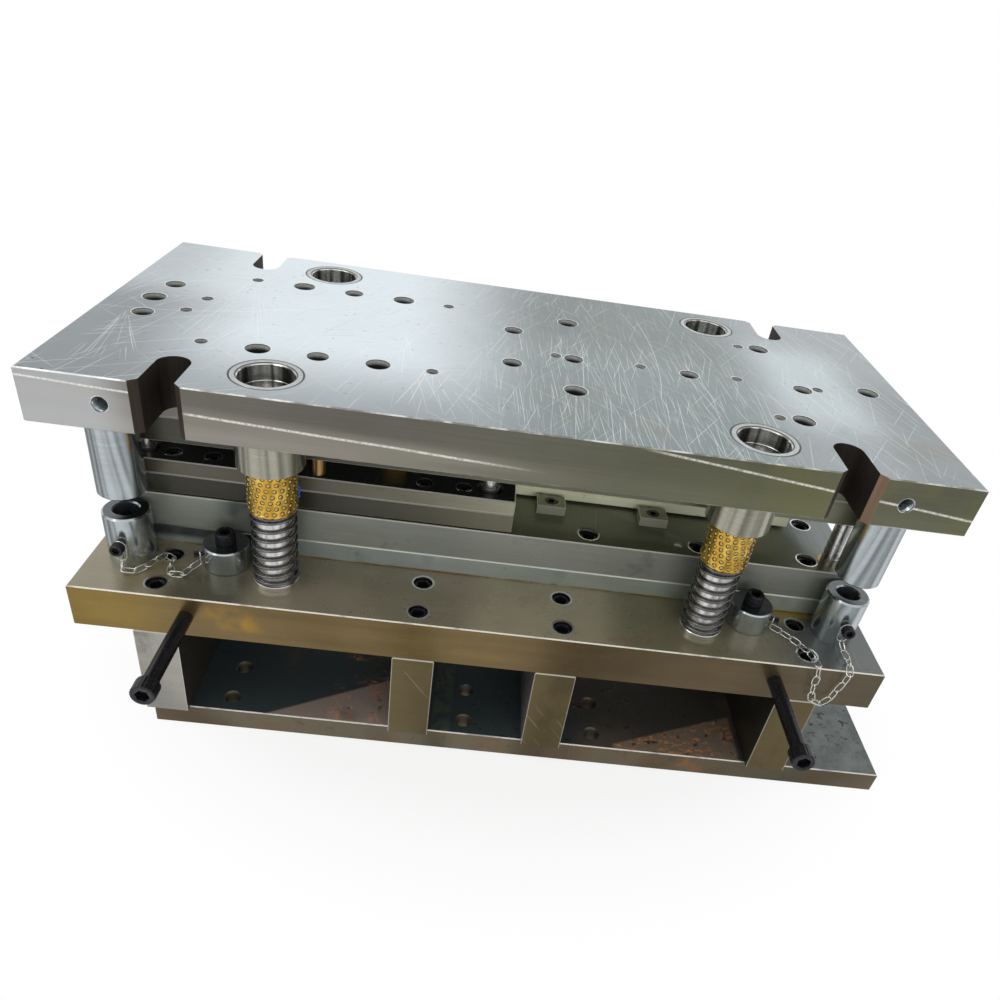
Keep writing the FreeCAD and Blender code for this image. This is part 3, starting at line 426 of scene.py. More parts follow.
def make_upper_shoe_finish():
    f = Finish("ground_shoe_top", (0.45, 0.5, 0.52))
    up = facing_up(f)
    cloud = f.noise(4.5, 4.0, 0.6)
    lines = grinding(f)
    cuts = shoe_scratches(f)
    top = make_upper_shoe_top(f, cloud, cuts, lines)
    side, in_slot, bore = make_upper_shoe_side(f)
    colour = f.mix(up, side, top)
    # The pale line on the chamfers is a painted highlight, broken into patches.
    broken_edge_highlight = f.patches(40.0, 3.0, 0.6, 0.42, 0.62)
    colour = f.mix(on_chamfer(f) * (0.15 + 0.75 * broken_edge_highlight), colour, (0.72, 0.74, 0.72))
    in_slot = in_slot * (1 - up)
    rough = 0.34 + (cloud - 0.5) * 0.2 - 0.04 * up + cuts * 0.1 + in_slot * 0.3
    metallic = 0.82 - (1 - up) * (0.3 + 0.25 * in_slot + 0.35 * bore)
    return f.done(colour, rough, metallic, f.bump(lines * up, 0.00006, 0.6))


upper_shoe_finish = make_upper_shoe_finish()


# %% [markdown]
# The lower shoe is the same steel after longer use: a film of oil makes it brown to olive
# and glossy enough to mirror the posts that stand on it. Its front was wiped less often and
# has turned the colour of brass at the left. Oil pools as a smooth clear coat, so the
# puddles raise Coat Weight and lower the roughness instead of only changing the colour.
# %% Lower shoe finish
def make_lower_shoe_finish():
    f = Finish("oiled_lower_shoe", (0.1, 0.1, 0.08))
    up = facing_up(f)
    cloud = f.noise(5.0, 4.0, 0.6)
    fine = f.noise(55.0, 4.0, 0.65)
    lines = grinding(f, 0.0, 1100)
    # A lighter band across the middle of the deck is painted light.
    light = 0.27 + (cloud - 0.45) * 0.36 + (lines - 0.5) * 0.07 + f.band(f.x, 0.05, 0.05, 0.04) * 0.13
    # The dark patch just in front of the left spacer is a painted shadow.
    puck_shadow = f.band(f.x, -0.262, 0.022, 0.022) * f.band(f.y, -0.158, 0.016, 0.016)
    olive = f.ramp(f.x, 0.09, 0.15) * f.ramp(f.x, 0.28, 0.2)
    pits = f.patches(150.0, 3.0, 0.7, 0.66, 0.72) * f.ramp(cloud, 0.46, 0.54)
    pool = f.patches(18.0, 2.0, 0.5, 0.42, 0.5)
    pool = pool * f.band(f.x, 0.292, 0.032, 0.008) * f.band(f.y, -0.103, 0.008, 0.006)
    near_left = f.band(f.x, -0.318, 0.012, 0.02) * f.band(f.y, -0.148, 0.012, 0.02)
    orange = f.patches(26.0, 3.0, 0.6, 0.5, 0.62)
    orange = orange * f.band(f.x, 0.1, 0.035, 0.02) * f.ramp(f.y, -0.16, -0.172)
    top = f.coats(
        f.tint(1.0, f.grey(light), (1.1, 1.0, 0.7)),
        (f.patches(11.0, 5.0, 0.7, 0.52, 0.62) * 0.5, (0.38, 0.3, 0.24)),
        (f.ramp(f.x, 0.24, 0.33) * 0.85, (0.09, 0.11, 0.125)),
        (puck_shadow * 0.6, (0.05, 0.05, 0.035)), (olive * 0.6, (0.17, 0.17, 0.085)),
        (plain_scratches(f) * 0.18, (0.55, 0.54, 0.48)), (pits * 0.7, (0.02, 0.018, 0.013)),
        (pool * 0.9, (0.3, 0.2, 0.02)), (near_left * 0.4, (0.2, 0.14, 0.03)),
        (orange * 0.55, (0.38, 0.14, 0.08)),
    )
    ochre = f.coats(
        (0.205, 0.138, 0.045), (f.ramp(f.x, -0.27, -0.34), (0.31, 0.205, 0.04)),
        (f.ramp(f.x, 0.0, 0.1), (0.15, 0.102, 0.046)), (f.ramp(f.x, 0.2, 0.36), (0.18, 0.15, 0.1)),
    )
    side = f.mix((cloud - 0.3) * 0.6, ochre, (0.105, 0.072, 0.034))
    level = f.noise(1.0, 3.0, 0.6, f.stretched((8, 8, 90)))
    side = f.tint(1.0, side, f.grey(0.9 + (level - 0.5) * 0.5))
    amber = f.band(f.x + (f.z - deck) * 0.5, -0.247, 0.01, 0.02)
    amber = amber * f.band(f.z, deck - 0.019, 0.006, 0.012) * f.patches(30.0, 2.0, 0.5, 0.35, 0.55)
    side = f.mix(amber * 0.65, side, (0.42, 0.22, 0.02))
    shade = f.ramp(abs(f.x), 0.3, 0.272) * f.patches(1.0, 1.0, 0.5, 0.3, 0.7, f.stretched((20, 1, 20)))
    side = f.mix(shade * 0.1, side, (0.06, 0.05, 0.03))
    colour = f.mix(up, side, top)
    # The pale line on the top chamfers is a painted highlight, broken into patches.
    top_edge = on_chamfer(f) * f.ramp(f.z, deck - 0.01, deck)
    broken = f.patches(60.0, 3.0, 0.5, 0.3, 0.5)
    colour = f.mix(top_edge * (0.45 + 0.5 * broken), colour, (0.8, 0.77, 0.68))
    rough = 0.3 + (fine - 0.5) * 0.25 + (cloud - 0.5) * 0.15 - pool * 0.2
    normal = f.bump(lines * 0.4 + fine * 0.3 - pits, 0.00015, 0.5)
    return f.done(colour, rough, 0.75 - 0.4 * up - pool * 0.3, normal, (0.25 + pool).under(1.0))


lower_shoe_finish = make_lower_shoe_finish()


# %% [markdown]
# The base plate is the roughest piece. Black pits, blue-black mill scale and patches of
# orange rust lie on it where the oil has worn off. Rust is matt and not metallic, so the
# same mask that colours it lowers Metallic and raises Roughness.
# %% Base plate and parallels
def make_base_finish():
    f = Finish("scaled_base_plate", (0.08, 0.08, 0.08))
    up = facing_up(f)
    cloud = f.noise(6.0, 4.0, 0.6)
    fine = f.noise(90.0, 4.0, 0.7)
    teal = f.ramp(f.x + 0.08 * (f.noise(7.0, 2.0) - 0.5), 0.13, 0.08)
    brown = f.mix(f.ramp(cloud, 0.42, 0.6), (0.12, 0.095, 0.08), (0.065, 0.06, 0.052))
    lit_floor = f.ramp(f.y - (f.x + 0.09) * 0.55, -0.1, -0.104) * f.band(f.x, -0.16, 0.075, 0.02)
    lit_right = f.ramp(f.y - f.x * 0.41, -0.222, -0.226) * f.band(f.x, 0.215, 0.065, 0.006)
    reddish = f.patches(9.0, 3.0, 0.6, 0.5, 0.62) * f.band(f.x, -0.13, 0.04, 0.05)
    green = f.band(f.x, -0.036, 0.008, 0.003) * f.ramp(fine, 0.38, 0.55)
    pits = f.patches(75.0, 4.0, 0.75, 0.58, 0.64) * f.ramp(cloud, 0.42, 0.54)
    spots = f.ramp(f.noise(170.0, 4.0, 0.75, f.stretched((1, 1.4, 1), 0.3)), 0.5, 0.62)
    where = f.band(f.x + f.y * 0.2, -0.145, 0.03, 0.02) + lit_right
    rust_and_shade = spots * where.under(1.0) * f.ramp(f.noise(16.0, 2.0, 0.6) + 0.1 * lit_right, 0.42, 0.54)
    steel = f.mix(f.patches(40.0, 4.0, 0.7, 0.35, 0.65), (0.17, 0.19, 0.185), (0.11, 0.125, 0.12))
    black = f.patches(120.0, 3.0, 0.7, 0.57, 0.61, f.stretched((1, 1, 1), 0, (1, 7, 0)))
    black = black * f.ramp(f.y, -0.17, -0.1)
    steel = f.mix(black * 0.9, steel, (0.015, 0.015, 0.015))
    top = f.coats(
        brown, (teal, (0.05, 0.068, 0.075)),
        (lit_floor * 0.85, f.mix(cloud, (0.5, 0.36, 0.31), (0.36, 0.33, 0.29))),
        (lit_right * 0.85, f.mix(cloud, (0.34, 0.25, 0.18), (0.25, 0.2, 0.15))),
        (reddish * 0.8, (0.2, 0.115, 0.1)), (green * 0.5, (0.11, 0.15, 0.1)),
        (pits * 0.8, (0.012, 0.012, 0.012)), (rust_and_shade * 0.8, (0.55, 0.19, 0.05)),
        (f.ramp(f.x, 0.352, 0.362), steel),
    )
    side = f.mix(f.patches(13.0, 4.0, 0.65, 0.4, 0.65), (0.13, 0.115, 0.075), (0.15, 0.1, 0.055))
    side_rust = f.patches(24.0, 4.0, 0.6, 0.58, 0.68) * f.band(f.x, 0.1, 0.12, 0.1)
    side = f.mix(side_rust * 0.7, side, (0.3, 0.12, 0.04))
    side = f.mix(f.ramp(fine, 0.6, 0.72) * 0.5, side, (0.05, 0.045, 0.035))
    colour = f.mix(up, side, top)
    edge = on_chamfer(f)
    lit = edge * f.ramp(f.z, 0.015, 0.024) * f.ramp(f.y, -0.16, -0.166).over(f.ramp(f.x, 0.42, 0.43))
    colour = f.mix(edge * 0.8, colour, (0.09, 0.095, 0.09))
    colour = f.mix(lit * (0.4 + 0.5 * f.patches(50.0, 3.0, 0.5, 0.3, 0.5)), colour, (0.78, 0.76, 0.7))
    rough = 0.42 + (fine - 0.5) * 0.3 + rust_and_shade * 0.35 * up
    metallic = 0.55 - 0.45 * rust_and_shade * up - 0.2 * up
    return f.done(colour, rough, metallic, f.bump(fine * 0.5 - pits + rust_and_shade * 0.4, 0.0003, 0.6))


def make_parallel_finish():
    f = Finish("oiled_parallels", (0.12, 0.1, 0.06))
    cloud = f.noise(9.0, 4.0, 0.6)
    smudge = f.ramp(f.noise(22.0, 4.0, 0.65, f.stretched((1, 1, 0.6))), 0.52, 0.68)
    lines = f.noise(1.0, 3.0, 0.6, f.stretched((14, 14, 900)))
    front = f.ramp(f.y, -0.1765, -0.1772)
    warm = f.mix(f.ramp(f.x, -0.27, -0.15), (0.42, 0.41, 0.37), (0.145, 0.11, 0.048))
    face = f.tint(1.0, warm, f.grey(0.95 + (cloud - 0.5) * 0.7 + (lines - 0.5) * 0.25))
    face = f.mix(smudge * 0.45, face, (0.07, 0.052, 0.028))
    golden = f.mix(f.ramp(cloud, 0.3, 0.7), (0.075, 0.066, 0.05), (0.035, 0.034, 0.03))
    golden = f.mix(f.band(f.x, 0.0485, 0.003, 0.001), golden, (0.3, 0.28, 0.28))
    colour = f.mix(front, golden, face)
    sloped = strokes(f, f.x * 0.6 - f.z * 0.8, f.z * 0.6 + f.x * 0.8, 0.011, 0.07, 4.4, 0.3, 0.0005)
    colour = f.mix(sloped * front * 0.5, colour, (0.5, 0.48, 0.42))
    # The pale side edges of each front and the pale chamfers are painted highlights.
    corner = f.band(abs(abs(f.x) - 0.18825), 0.11975, 0.0191, 0.0004)
    colour = f.mix(front * (1 - corner) * 0.6, colour, (0.62, 0.6, 0.52))
    colour = f.mix(on_chamfer(f) * 0.7, colour, (0.7, 0.67, 0.6))
    return f.done(colour, 0.36 + (cloud - 0.5) * 0.2, 0.6, f.bump(lines, 0.00008, 0.5))


base_finish = make_base_finish()
parallel_finish = make_parallel_finish()


# %% [markdown]
# The die and punch plates are tool steel, ground on every side. They differ mostly in
# tone, so one function makes them all from two side colours, a top colour and how much
# oil has gathered. The pale line along each top edge is the chamfer catching the light.
# %% Die plate finishes
def make_plate_finish(name, left, right, top, metallic=0.5, edge=0.75, up_shine=0.0):
    f = Finish(name, left)
    up = facing_up(f)
    cloud = f.noise(6.0, 4.0, 0.6, f.stretched((1, 1, 2.5), 0, (left[0] * 40, 0, 0)))
    lines = f.noise(1.0, 3.0, 0.6, f.stretched((16, 700, 700)))
    fine = f.noise(120.0, 4.0, 0.7)
    side = f.mix(f.ramp(f.x, -0.2, 0.25), left, right)
    level = f.grey(1.0 + (cloud - 0.5) * 0.8 + (lines - 0.5) * 0.3)
    stain = f.patches(14.0, 4.0, 0.65, 0.58, 0.7)
    side = f.mix(stain * 0.45, f.tint(1.0, side, level), (0.07, 0.07, 0.055))
    upper = f.tint(1.0, top, level)
    upper = f.mix(plain_scratches(f) * 0.22, upper, (0.5, 0.5, 0.45))
    colour = f.mix(up, side, upper)
    colour = f.mix(f.ramp(fine, 0.64, 0.74) * 0.3, colour, (0.04, 0.04, 0.03))
    colour = f.mix(on_chamfer(f) * edge, colour, (0.75, 0.74, 0.68))
    roughness = 0.34 + (cloud - 0.5) * 0.2 - up * up_shine
    return f, colour, roughness, metallic, f.bump(lines * 0.6 + fine * 0.3, 0.00008, 0.5)


def plain_plate(*values, **options):
    f, colour, roughness, metallic, normal = make_plate_finish(*values, **options)
    return f.done(colour, roughness, metallic, normal, 0.15)


def make_backing_finish():
    """The lowest plate has a line of gold oil where it meets the shoe."""
    f, colour, roughness, metallic, normal = make_plate_finish(
        "die_backing_steel", (0.36, 0.41, 0.4), (0.33, 0.37, 0.32), (0.12, 0.12, 0.1))
    seep = f.ramp(f.z, deck + 0.0028, deck + 0.0006)
    seep = seep * f.patches(22.0, 3.0, 0.5, 0.35, 0.55)
    colour = f.mix(seep, colour, (0.3, 0.2, 0.025))
    shadow = f.ramp(f.x, -0.19, -0.235) * f.ramp(f.z, deck + 0.004, deck + 0.012)
    colour = f.mix(shadow * 0.85, colour, (0.015, 0.02, 0.02))
    return f.done(colour, roughness - seep * 0.15, metallic, normal, 0.2)


def make_die_finish():
    """The die plate's top is dark with oil, and brushed and painted lighter at its right end."""
    f, colour, roughness, metallic, normal = make_plate_finish(
        "die_plate_steel", (0.25, 0.27, 0.24), (0.23, 0.24, 0.215), (0.13, 0.145, 0.09), metallic=0.4)
    up = facing_up(f)
    # The lighter tone at the right end is painted light; the brush streaks in it are its own.
    bright = f.ramp(f.x + f.y * 0.5, 0.275, 0.3) * up
    brushed = f.noise(1.0, 3.0, 0.6, f.stretched((600, 20, 20), 0.4))
    colour = f.mix(bright * 0.85, colour, f.mix(brushed, (0.16, 0.19, 0.19), (0.34, 0.39, 0.4)))
    wedge = f.ramp(f.x * 0.5 + f.y, 0.02, 0.025) * f.ramp(f.x * 0.8 + f.y, 0.085, 0.08) * up
    colour = f.mix(wedge * 0.5, colour, (0.19, 0.2, 0.15))
    mottled = f.patches(16.0, 3.0, 0.6, 0.4, 0.56)
    shadow = f.band(f.x, -0.228, 0.016, 0.034) * (0.45 + 0.55 * mottled) * (1 - up)
    colour = f.mix(shadow * 0.9, colour, (0.01, 0.016, 0.016))
    return f.done(colour, roughness + shadow * 0.35, metallic, normal, 0.2 - shadow * 0.2)


# %% [markdown]
# Each flat plate keeps its CAD mesh and only gets a new material. The stripper's two halves
# and their backing are four finishes, because the left half is dark and the right one is
# painted nearly white: painted light on faces that lie in the shade of the upper shoe.
# %% Dress the plates
plate_finishes = {
    "upper_shoe": upper_shoe_finish, "lower_shoe": lower_shoe_finish, "base_plate": base_finish,
    "die_backing_plate": make_backing_finish(), "die_plate": make_die_finish(),
    "punch_backing_plate": plain_plate(
        "punch_backing_steel", (0.19, 0.18, 0.15), (0.16, 0.16, 0.115), (0.1, 0.1, 0.08)),
    # The near-white right stripper halves and the pale right end of the punch holder are painted light on
    # faces in the shade of the upper shoe.
    "punch_holder_plate": plain_plate(
        "punch_holder_steel", (0.06, 0.058, 0.042), (0.19, 0.19, 0.13), (0.1, 0.1, 0.08)),
    "stripper_plate_left": plain_plate(
        "stripper_steel", (0.036, 0.035, 0.026), (0.27, 0.26, 0.17), (0.03, 0.032, 0.028), edge=0.5),
    "stripper_plate_right": plain_plate(
        "stripper_right_steel", (0.92, 0.95, 0.66), (0.92, 0.95, 0.74), (0.03, 0.032, 0.028),
        metallic=0.3, edge=0.5),
    "stripper_backing_left": plain_plate(
        "stripper_backing_left_steel", (0.1, 0.092, 0.068), (0.6, 0.6, 0.44), (0.05, 0.06, 0.055),
        up_shine=0.16),
    "stripper_backing_right": plain_plate(
        "stripper_backing_right_steel", (0.95, 0.96, 0.68), (0.95, 0.96, 0.74), (0.05, 0.06, 0.055),
        metallic=0.15, up_shine=0.16),
    "stock_guides": plain_plate(
        "guide_block_steel", (0.42, 0.41, 0.33), (0.42, 0.41, 0.33), (0.2, 0.22, 0.15), edge=0.9),
}
for number in range(1, 5):
    plate_finishes[f"parallel_{number}"] = parallel_finish


def dress(node, material):
    """Give a CAD node's object a new material in place of its plain one."""
    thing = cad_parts[node]
    thing.data.materials.clear()
    thing.data.materials.append(material)


for node, material in plate_finishes.items():
    dress(node, material)
print("dressed", len(plate_finishes), "plates")

# %% [markdown]
# Turned steel shows rings across its axis and long highlights down it. Hardened posts and
# bushes are polished until they are nearly a mirror; the limit posts keep a fine feed mark
# from the lathe. The pattern follows each piece's own axis, which is upright for nearly all
# of them, so height alone gives the rings.
# %% Finishes of the round pieces
def make_turned_finish(name, tone, rough, ring_depth, top_tone=None, metallic=0.95, bored=False):
    f = Finish(name, tone)
    rings = f.noise(1.0, 2.0, 0.6, f.stretched((2, 2, 2600)))
    cloud = f.noise(24.0, 3.0, 0.6)
    colour = f.tint(1.0, tone, f.grey(1.0 + (rings - 0.5) * 0.35 + (cloud - 0.5) * 0.35))
    if top_tone:
        swirl = f.noise(260.0, 2.0, 0.6)
        slate = f.tint(1.0, top_tone, f.grey(0.9 + (swirl - 0.5) * 0.5))
        colour = f.mix(f.ramp(abs(f.split(f.facing)[2]), 0.9, 0.96), colour, slate)
    if bored:
        # The bore's wall gets bright and dark upright streaks, a painted reflection.
        dx, dy = abs(f.x) - POST_X * MM, abs(f.y) - POST_Y * MM
        away = f.length(dx, dy)
        around = f.point(f.maths("ARCTAN2", dy, dx) * 2.2, 0.0, 0.7)
        streaks = f.patches(1.0, 2.0, 0.5, 0.38, 0.6, around)
        inside = f.ramp(away, (BORE_RADIUS + 0.7) * MM, (BORE_RADIUS + 0.5) * MM)
        colour = f.mix(inside, colour, f.mix(streaks, (0.1, 0.105, 0.1), (0.8, 0.81, 0.78)))
        edge = f.band(away, (BORE_RADIUS + 1.5) * MM, 0.0003, 0.0003)
        joint = f.ramp(away, (BUSH_RADIUS - 0.8) * MM, (BUSH_RADIUS - 0.3) * MM) * f.ramp(f.z, 0.3785, 0.379)
        colour = f.mix(edge + joint, colour, (0.03, 0.03, 0.03))
        rings = rings * (1 - inside)
    scuffs = strokes(f, f.x + f.z * 0.8, f.z - f.y * 0.7, 0.006, 0.03, 6.6, 0.3, 0.0003)
    colour = f.mix(scuffs * 0.3, colour, (0.75, 0.75, 0.74))
    return f.done(colour, rough + (cloud - 0.5) * 0.12, metallic, f.bump(rings, ring_depth, 0.5))


def make_plain_metal(name, tone, rough, metallic, size=80.0, spread=0.5, other=None):
    f = Finish(name, tone)
    cloud = f.noise(size, 4.0, 0.6)
    colour = f.tint(1.0, tone, f.grey(1.0 + (cloud - 0.5) * spread))
    if other:
        colour = f.mix(f.ramp(cloud, 0.55, 0.68), colour, other)
    return f.done(colour, rough + (cloud - 0.5) * 0.15, metallic, f.bump(cloud, 0.00001, 0.4))


turned_finish = make_turned_finish("turned_stop_steel", (0.47, 0.52, 0.54), 0.2, 0.00003, (0.15, 0.165, 0.17))
post_finish = make_turned_finish("polished_post_steel", (0.7, 0.69, 0.68), 0.22, 0.00001)
bush_finish = make_turned_finish(
    "ground_bush_steel", (0.37, 0.36, 0.295), 0.18, 0.00002, (0.5, 0.53, 0.54), 0.85, bored=True)
spring_finish = make_plain_metal("spring_wire", (0.19, 0.19, 0.195), 0.26, 0.9, 300.0)
# The steel balls' gold tint is a painted reflection of the brass cage.
ball_finish = make_plain_metal("polished_balls", (0.66, 0.5, 0.22), 0.1, 1.0, 400.0, 0.2)
chain_finish = make_plain_metal("zinc_wire", (0.84, 0.84, 0.8), 0.2, 0.9, 300.0, 0.4, (0.62, 0.58, 0.42))
black_finish = make_plain_metal(
    "black_oxide", (0.014, 0.014, 0.018), 0.26, 0.35, 350.0, 0.5, (0.024, 0.024, 0.026))
bronze_finish = make_plain_metal("bronze", (0.42, 0.27, 0.11), 0.3, 0.9)
rim_finish = make_plain_metal("bright_rims", (0.8, 0.82, 0.82), 0.22, 0.95, 300.0, 0.5)


def make_plastic_finish(name, tone, rough):
    f = Finish(name, tone)
    cloud = f.noise(200.0, 2.0)
    return f.done(f.tint(1.0, tone, f.grey(0.9 + cloud * 0.2)), rough, 0.0, f.bump(cloud, 0.00002, 0.3))


blue_finish = make_plastic_finish("blue_fitting", (0.03, 0.16, 0.55), 0.3)
urethane_finish = make_plastic_finish("urethane", (0.5, 0.28, 0.04), 0.4)

# %% [markdown]
# Round pieces are turned as on a lathe: a half profile is spun about its axis. A cylinder
# primitive would need its grooves and chamfers cut afterwards, while the profile holds them
# from the start. Edges sharper than 30 degrees stay sharp, and the rest shade smoothly.
# %% Lathe helpers
corners = (("front_left", -1, -1), ("front_right", 1, -1), ("rear_left", -1, 1), ("rear_right", 1, 1))
D = deck / MM


def lathe(profile, steps=64):
    """A closed solid of revolution about Z from a loop of (radius, height) points in mm."""
    bm = bmesh.new()
    points = [bm.verts.new((r * MM, 0, z * MM)) for r, z in profile]
    edges = [bm.edges.new(pair) for pair in zip(points, points[1:])]
    if profile[0][0] > 0:
        edges.append(bm.edges.new((points[-1], points[0])))
    bmesh.ops.spin(bm, geom=points + edges, cent=(0, 0, 0), axis=(0, 0, 1), dvec=(0, 0, 0),
                   angle=2 * math.pi, steps=steps, use_merge=True, use_duplicate=False)
    bmesh.ops.remove_doubles(bm, verts=bm.verts, dist=1e-7)
    bmesh.ops.recalc_face_normals(bm, faces=bm.faces)
    return bm


def joined(master, places, into=None):
    """Copies of one bmesh at each place, in one bmesh."""
    kept = bpy.data.meshes.new("master")
    master.to_mesh(kept)
    master.free()
    bm = into or bmesh.new()
    for place in places:
        before = len(bm.verts)
        bm.from_mesh(kept)
        bm.verts.ensure_lookup_table()
        bmesh.ops.transform(bm, matrix=place, verts=bm.verts[before:])
    bpy.data.meshes.remove(kept)
    return bm


def at(x, y, z=0.0):
    return Matrix.Translation((x * MM, y * MM, z * MM))


def all_at(spots, z=0.0):
    return [at(x, y, z) for x, y in spots]


def aim(x, y, z, direction):
    """A place whose Z axis points along the direction."""
    return at(x, y, z) @ Vector(direction).to_track_quat("Z", "Y").to_matrix().to_4x4()


def piece(name, bm, material, body, slot, *nodes, sharp=30.0):
    """Make an object of a bmesh, parent it to the body it rides on, and hide the CAD nodes it replaces."""
    for face in bm.faces:
        face.smooth = True
    for edge in bm.edges:
        edge.smooth = edge.calc_face_angle(0.0) < math.radians(sharp)
    mesh = bpy.data.meshes.new(name)
    bm.to_mesh(mesh)
    bm.free()
    mesh.materials.append(material)
    thing = placed(name, mesh)
    if body:
        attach(thing, body)
    if nodes:
        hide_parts(*nodes)
    print(name, len(mesh.polygons), "faces")
    return thing


def turned(name, profile, steps, places, *values):
    """A piece turned from a profile, with a copy at each place."""
    return piece(name, joined(lathe(profile, steps), places), *values)


# %% [markdown]
# The four guide posts are hardened, ground and polished, so they mirror the room as bright
# and dark stripes. Each stands in the lower shoe on a collar that also seats its spring.
# The bushes of the upper shoe are ground flush with its top; only a hairline joint, the
# small groove between two chamfers, shows where one metal ends and the other begins.
# %% Guide posts and bushes
post_profile = [
    (0, 128), (17.0, 128), (17.5, 128.6), (17.5, D), (20.2, D), (20.5, D + 0.3), (20.5, D + 4.4),
    (20.0, D + 5), (17.5, D + 5), (17.5, 345.8), (17.3, 346.6), (15.7, 349.8), (15.2, 350), (3.4, 350),
    (1.2, 347.2), (0, 347.2),
]
bush_profile = [
    (22.5, 300.5), (23.9, 299), (28.2, 299), (29, 299.8), (29, 379.1), (28.3, 379.95), (24.1, 379.95),
    (23.6, 379.7), (22.5, 378.6), (22.5, 366.4), (22.9, 366), (22.9, 365), (22.5, 364.6),
]
for corner, sx, sy in corners:
    place = [at(sx * POST_X, sy * POST_Y)]
    turned(f"post_{corner}", post_profile, 72, place, post_finish, "lower_die", "hardened_steel",
           f"guide_post_{corner}")
    turned(f"bush_{corner}", bush_profile, 72, place, bush_finish, "upper_die", "bush_steel",
           f"guide_bush_{corner}")

# %% [markdown]
# A cage spring is round wire wound about the post. Spinning a small circle while moving it
# up a little at each step winds the coil in one operator, and dead end turns that lie on
# each other are wound the same way with a smaller rise. When the set opens, each coil
# stretches between the shoe and its cage; here its mesh is made in place on no body.
# %% Cage springs
wire = 1.3
coil_radius = 19.5
live_turns = 7
spring_low = D + 5 + wire + 0.1
spring_high = 255 - wire - 0.1


def coil():
    bm = bmesh.new()
    section = bmesh.ops.create_circle(bm, cap_ends=False, radius=wire * MM, segments=12)["verts"]
    upright = at(coil_radius, 0, spring_low) @ Matrix.Rotation(math.pi / 2, 4, "X")
    bmesh.ops.transform(bm, matrix=upright, verts=section)
    loop = list(bm.edges)
    steps = 36
    dead_rise = 2 * wire + 0.05
    live_rise = (spring_high - spring_low - 2 * dead_rise) / live_turns
    for turns, rise in ((1, dead_rise), (live_turns, live_rise), (1, dead_rise)):
        ends = [e for e in loop if e.is_valid]
        verts = list({v for e in ends for v in e.verts})
        spun = bmesh.ops.spin(
            bm, geom=ends + verts, cent=(0, 0, 0), axis=(0, 0, 1), dvec=(0, 0, rise * MM / steps),
            angle=2 * math.pi * turns, steps=steps * turns, use_duplicate=False)
        loop = [g for g in spun["geom_last"] if isinstance(g, bmesh.types.BMEdge)]
    bmesh.ops.holes_fill(bm, edges=[e for e in bm.edges if e.is_boundary], sides=12)
    bmesh.ops.recalc_face_normals(bm, faces=bm.faces)
    return bm


for corner, sx, sy in corners:
    x, y = sx * POST_X, sy * POST_Y
    spring = piece(f"spring_{corner}", joined(coil(), [at(x, y)]), spring_finish, None, "spring_steel",
                   f"guide_spring_{corner}", sharp=60)
    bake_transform(spring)

# %% [markdown]
# The brass cage holds twelve rings of steel balls, each ring turned a little from the next.
# The balls stand out of the sleeve on both sides and roll between post and bush. Only the
# balls are copies here: the dark ring where each one sits in its hole is painted shade, drawn
# by the sleeve's finish from the same ring height and step, since thousands of cut holes would
# cost far more mesh than they show.
# %% Ball cages
ball_rows, balls_round = 12, 20
row_rise = 5.9
first_row = 259.6
row_turn = 0.28
ball_apart = 6.82
ball_radius = 2.45
ball_circle = 20.0


def make_cage_finish():
    f = Finish("cage_brass", (0.7, 0.45, 0.08))
    around = f.maths("ARCTAN2", abs(f.y) - POST_Y * MM, abs(f.x) - POST_X * MM)
    around = around * (balls_round / (2 * math.pi))
    level = (f.z - first_row * MM) * (1 / (row_rise * MM)) + 0.5
    row = f.maths("FLOOR", level)
    across = f.maths("FRACT", around - row * row_turn + 100.5) - 0.5
    up = f.maths("FRACT", level) - 0.5
    away = f.length(across * ball_apart, up * row_rise)
    # The dark ring round each ball is painted shade.
    seat = f.ramp(away, 2.35, 2.05)
    cloud = f.noise(40.0, 3.0, 0.6)
    colour = f.mix(f.ramp(cloud, 0.35, 0.65), (0.66, 0.38, 0.035), (0.84, 0.56, 0.09))
    colour = f.mix(seat, colour, (0.08, 0.04, 0.007))
    return f.done(colour, 0.22 + (cloud - 0.5) * 0.1, 0.92, f.bump(cloud * 0.1 - seat, 0.0002, 0.6), 0.3)


cage_finish = make_cage_finish()
cage_profile = [
    (18.3, 255.6), (18.7, 255), (21.3, 255), (21.7, 255.5), (21.7, 257.4), (21.3, 257.8), (21.3, 258.6),
    (21.7, 259), (21.7, 326), (21.3, 326.4), (21.3, 327.2), (21.7, 327.6), (21.7, 329.5), (21.3, 330),
    (18.7, 330), (18.3, 329.4),
]
for corner, sx, sy in corners:
    place = at(sx * POST_X, sy * POST_Y)
    turned(f"cage_{corner}", cage_profile, 64, [place], cage_finish, f"cage_{corner}", "cage_brass",
           f"ball_cage_{corner}")
    ball = bmesh.new()
    bmesh.ops.create_uvsphere(ball, u_segments=8, v_segments=6, radius=ball_radius * MM)
    spots = []
    for row in range(ball_rows):
        for i in range(balls_round):
            angle = 2 * math.pi * (i + row_turn * row) / balls_round
            angle = sy * (angle if sx > 0 else math.pi - angle)
            spot = at(ball_circle, 0, first_row + row * row_rise)
            spots.append(place @ Matrix.Rotation(angle, 4, "Z") @ spot)
    piece(f"balls_{corner}", joined(ball, spots), ball_finish, f"cage_{corner}", "cage_brass", sharp=80)

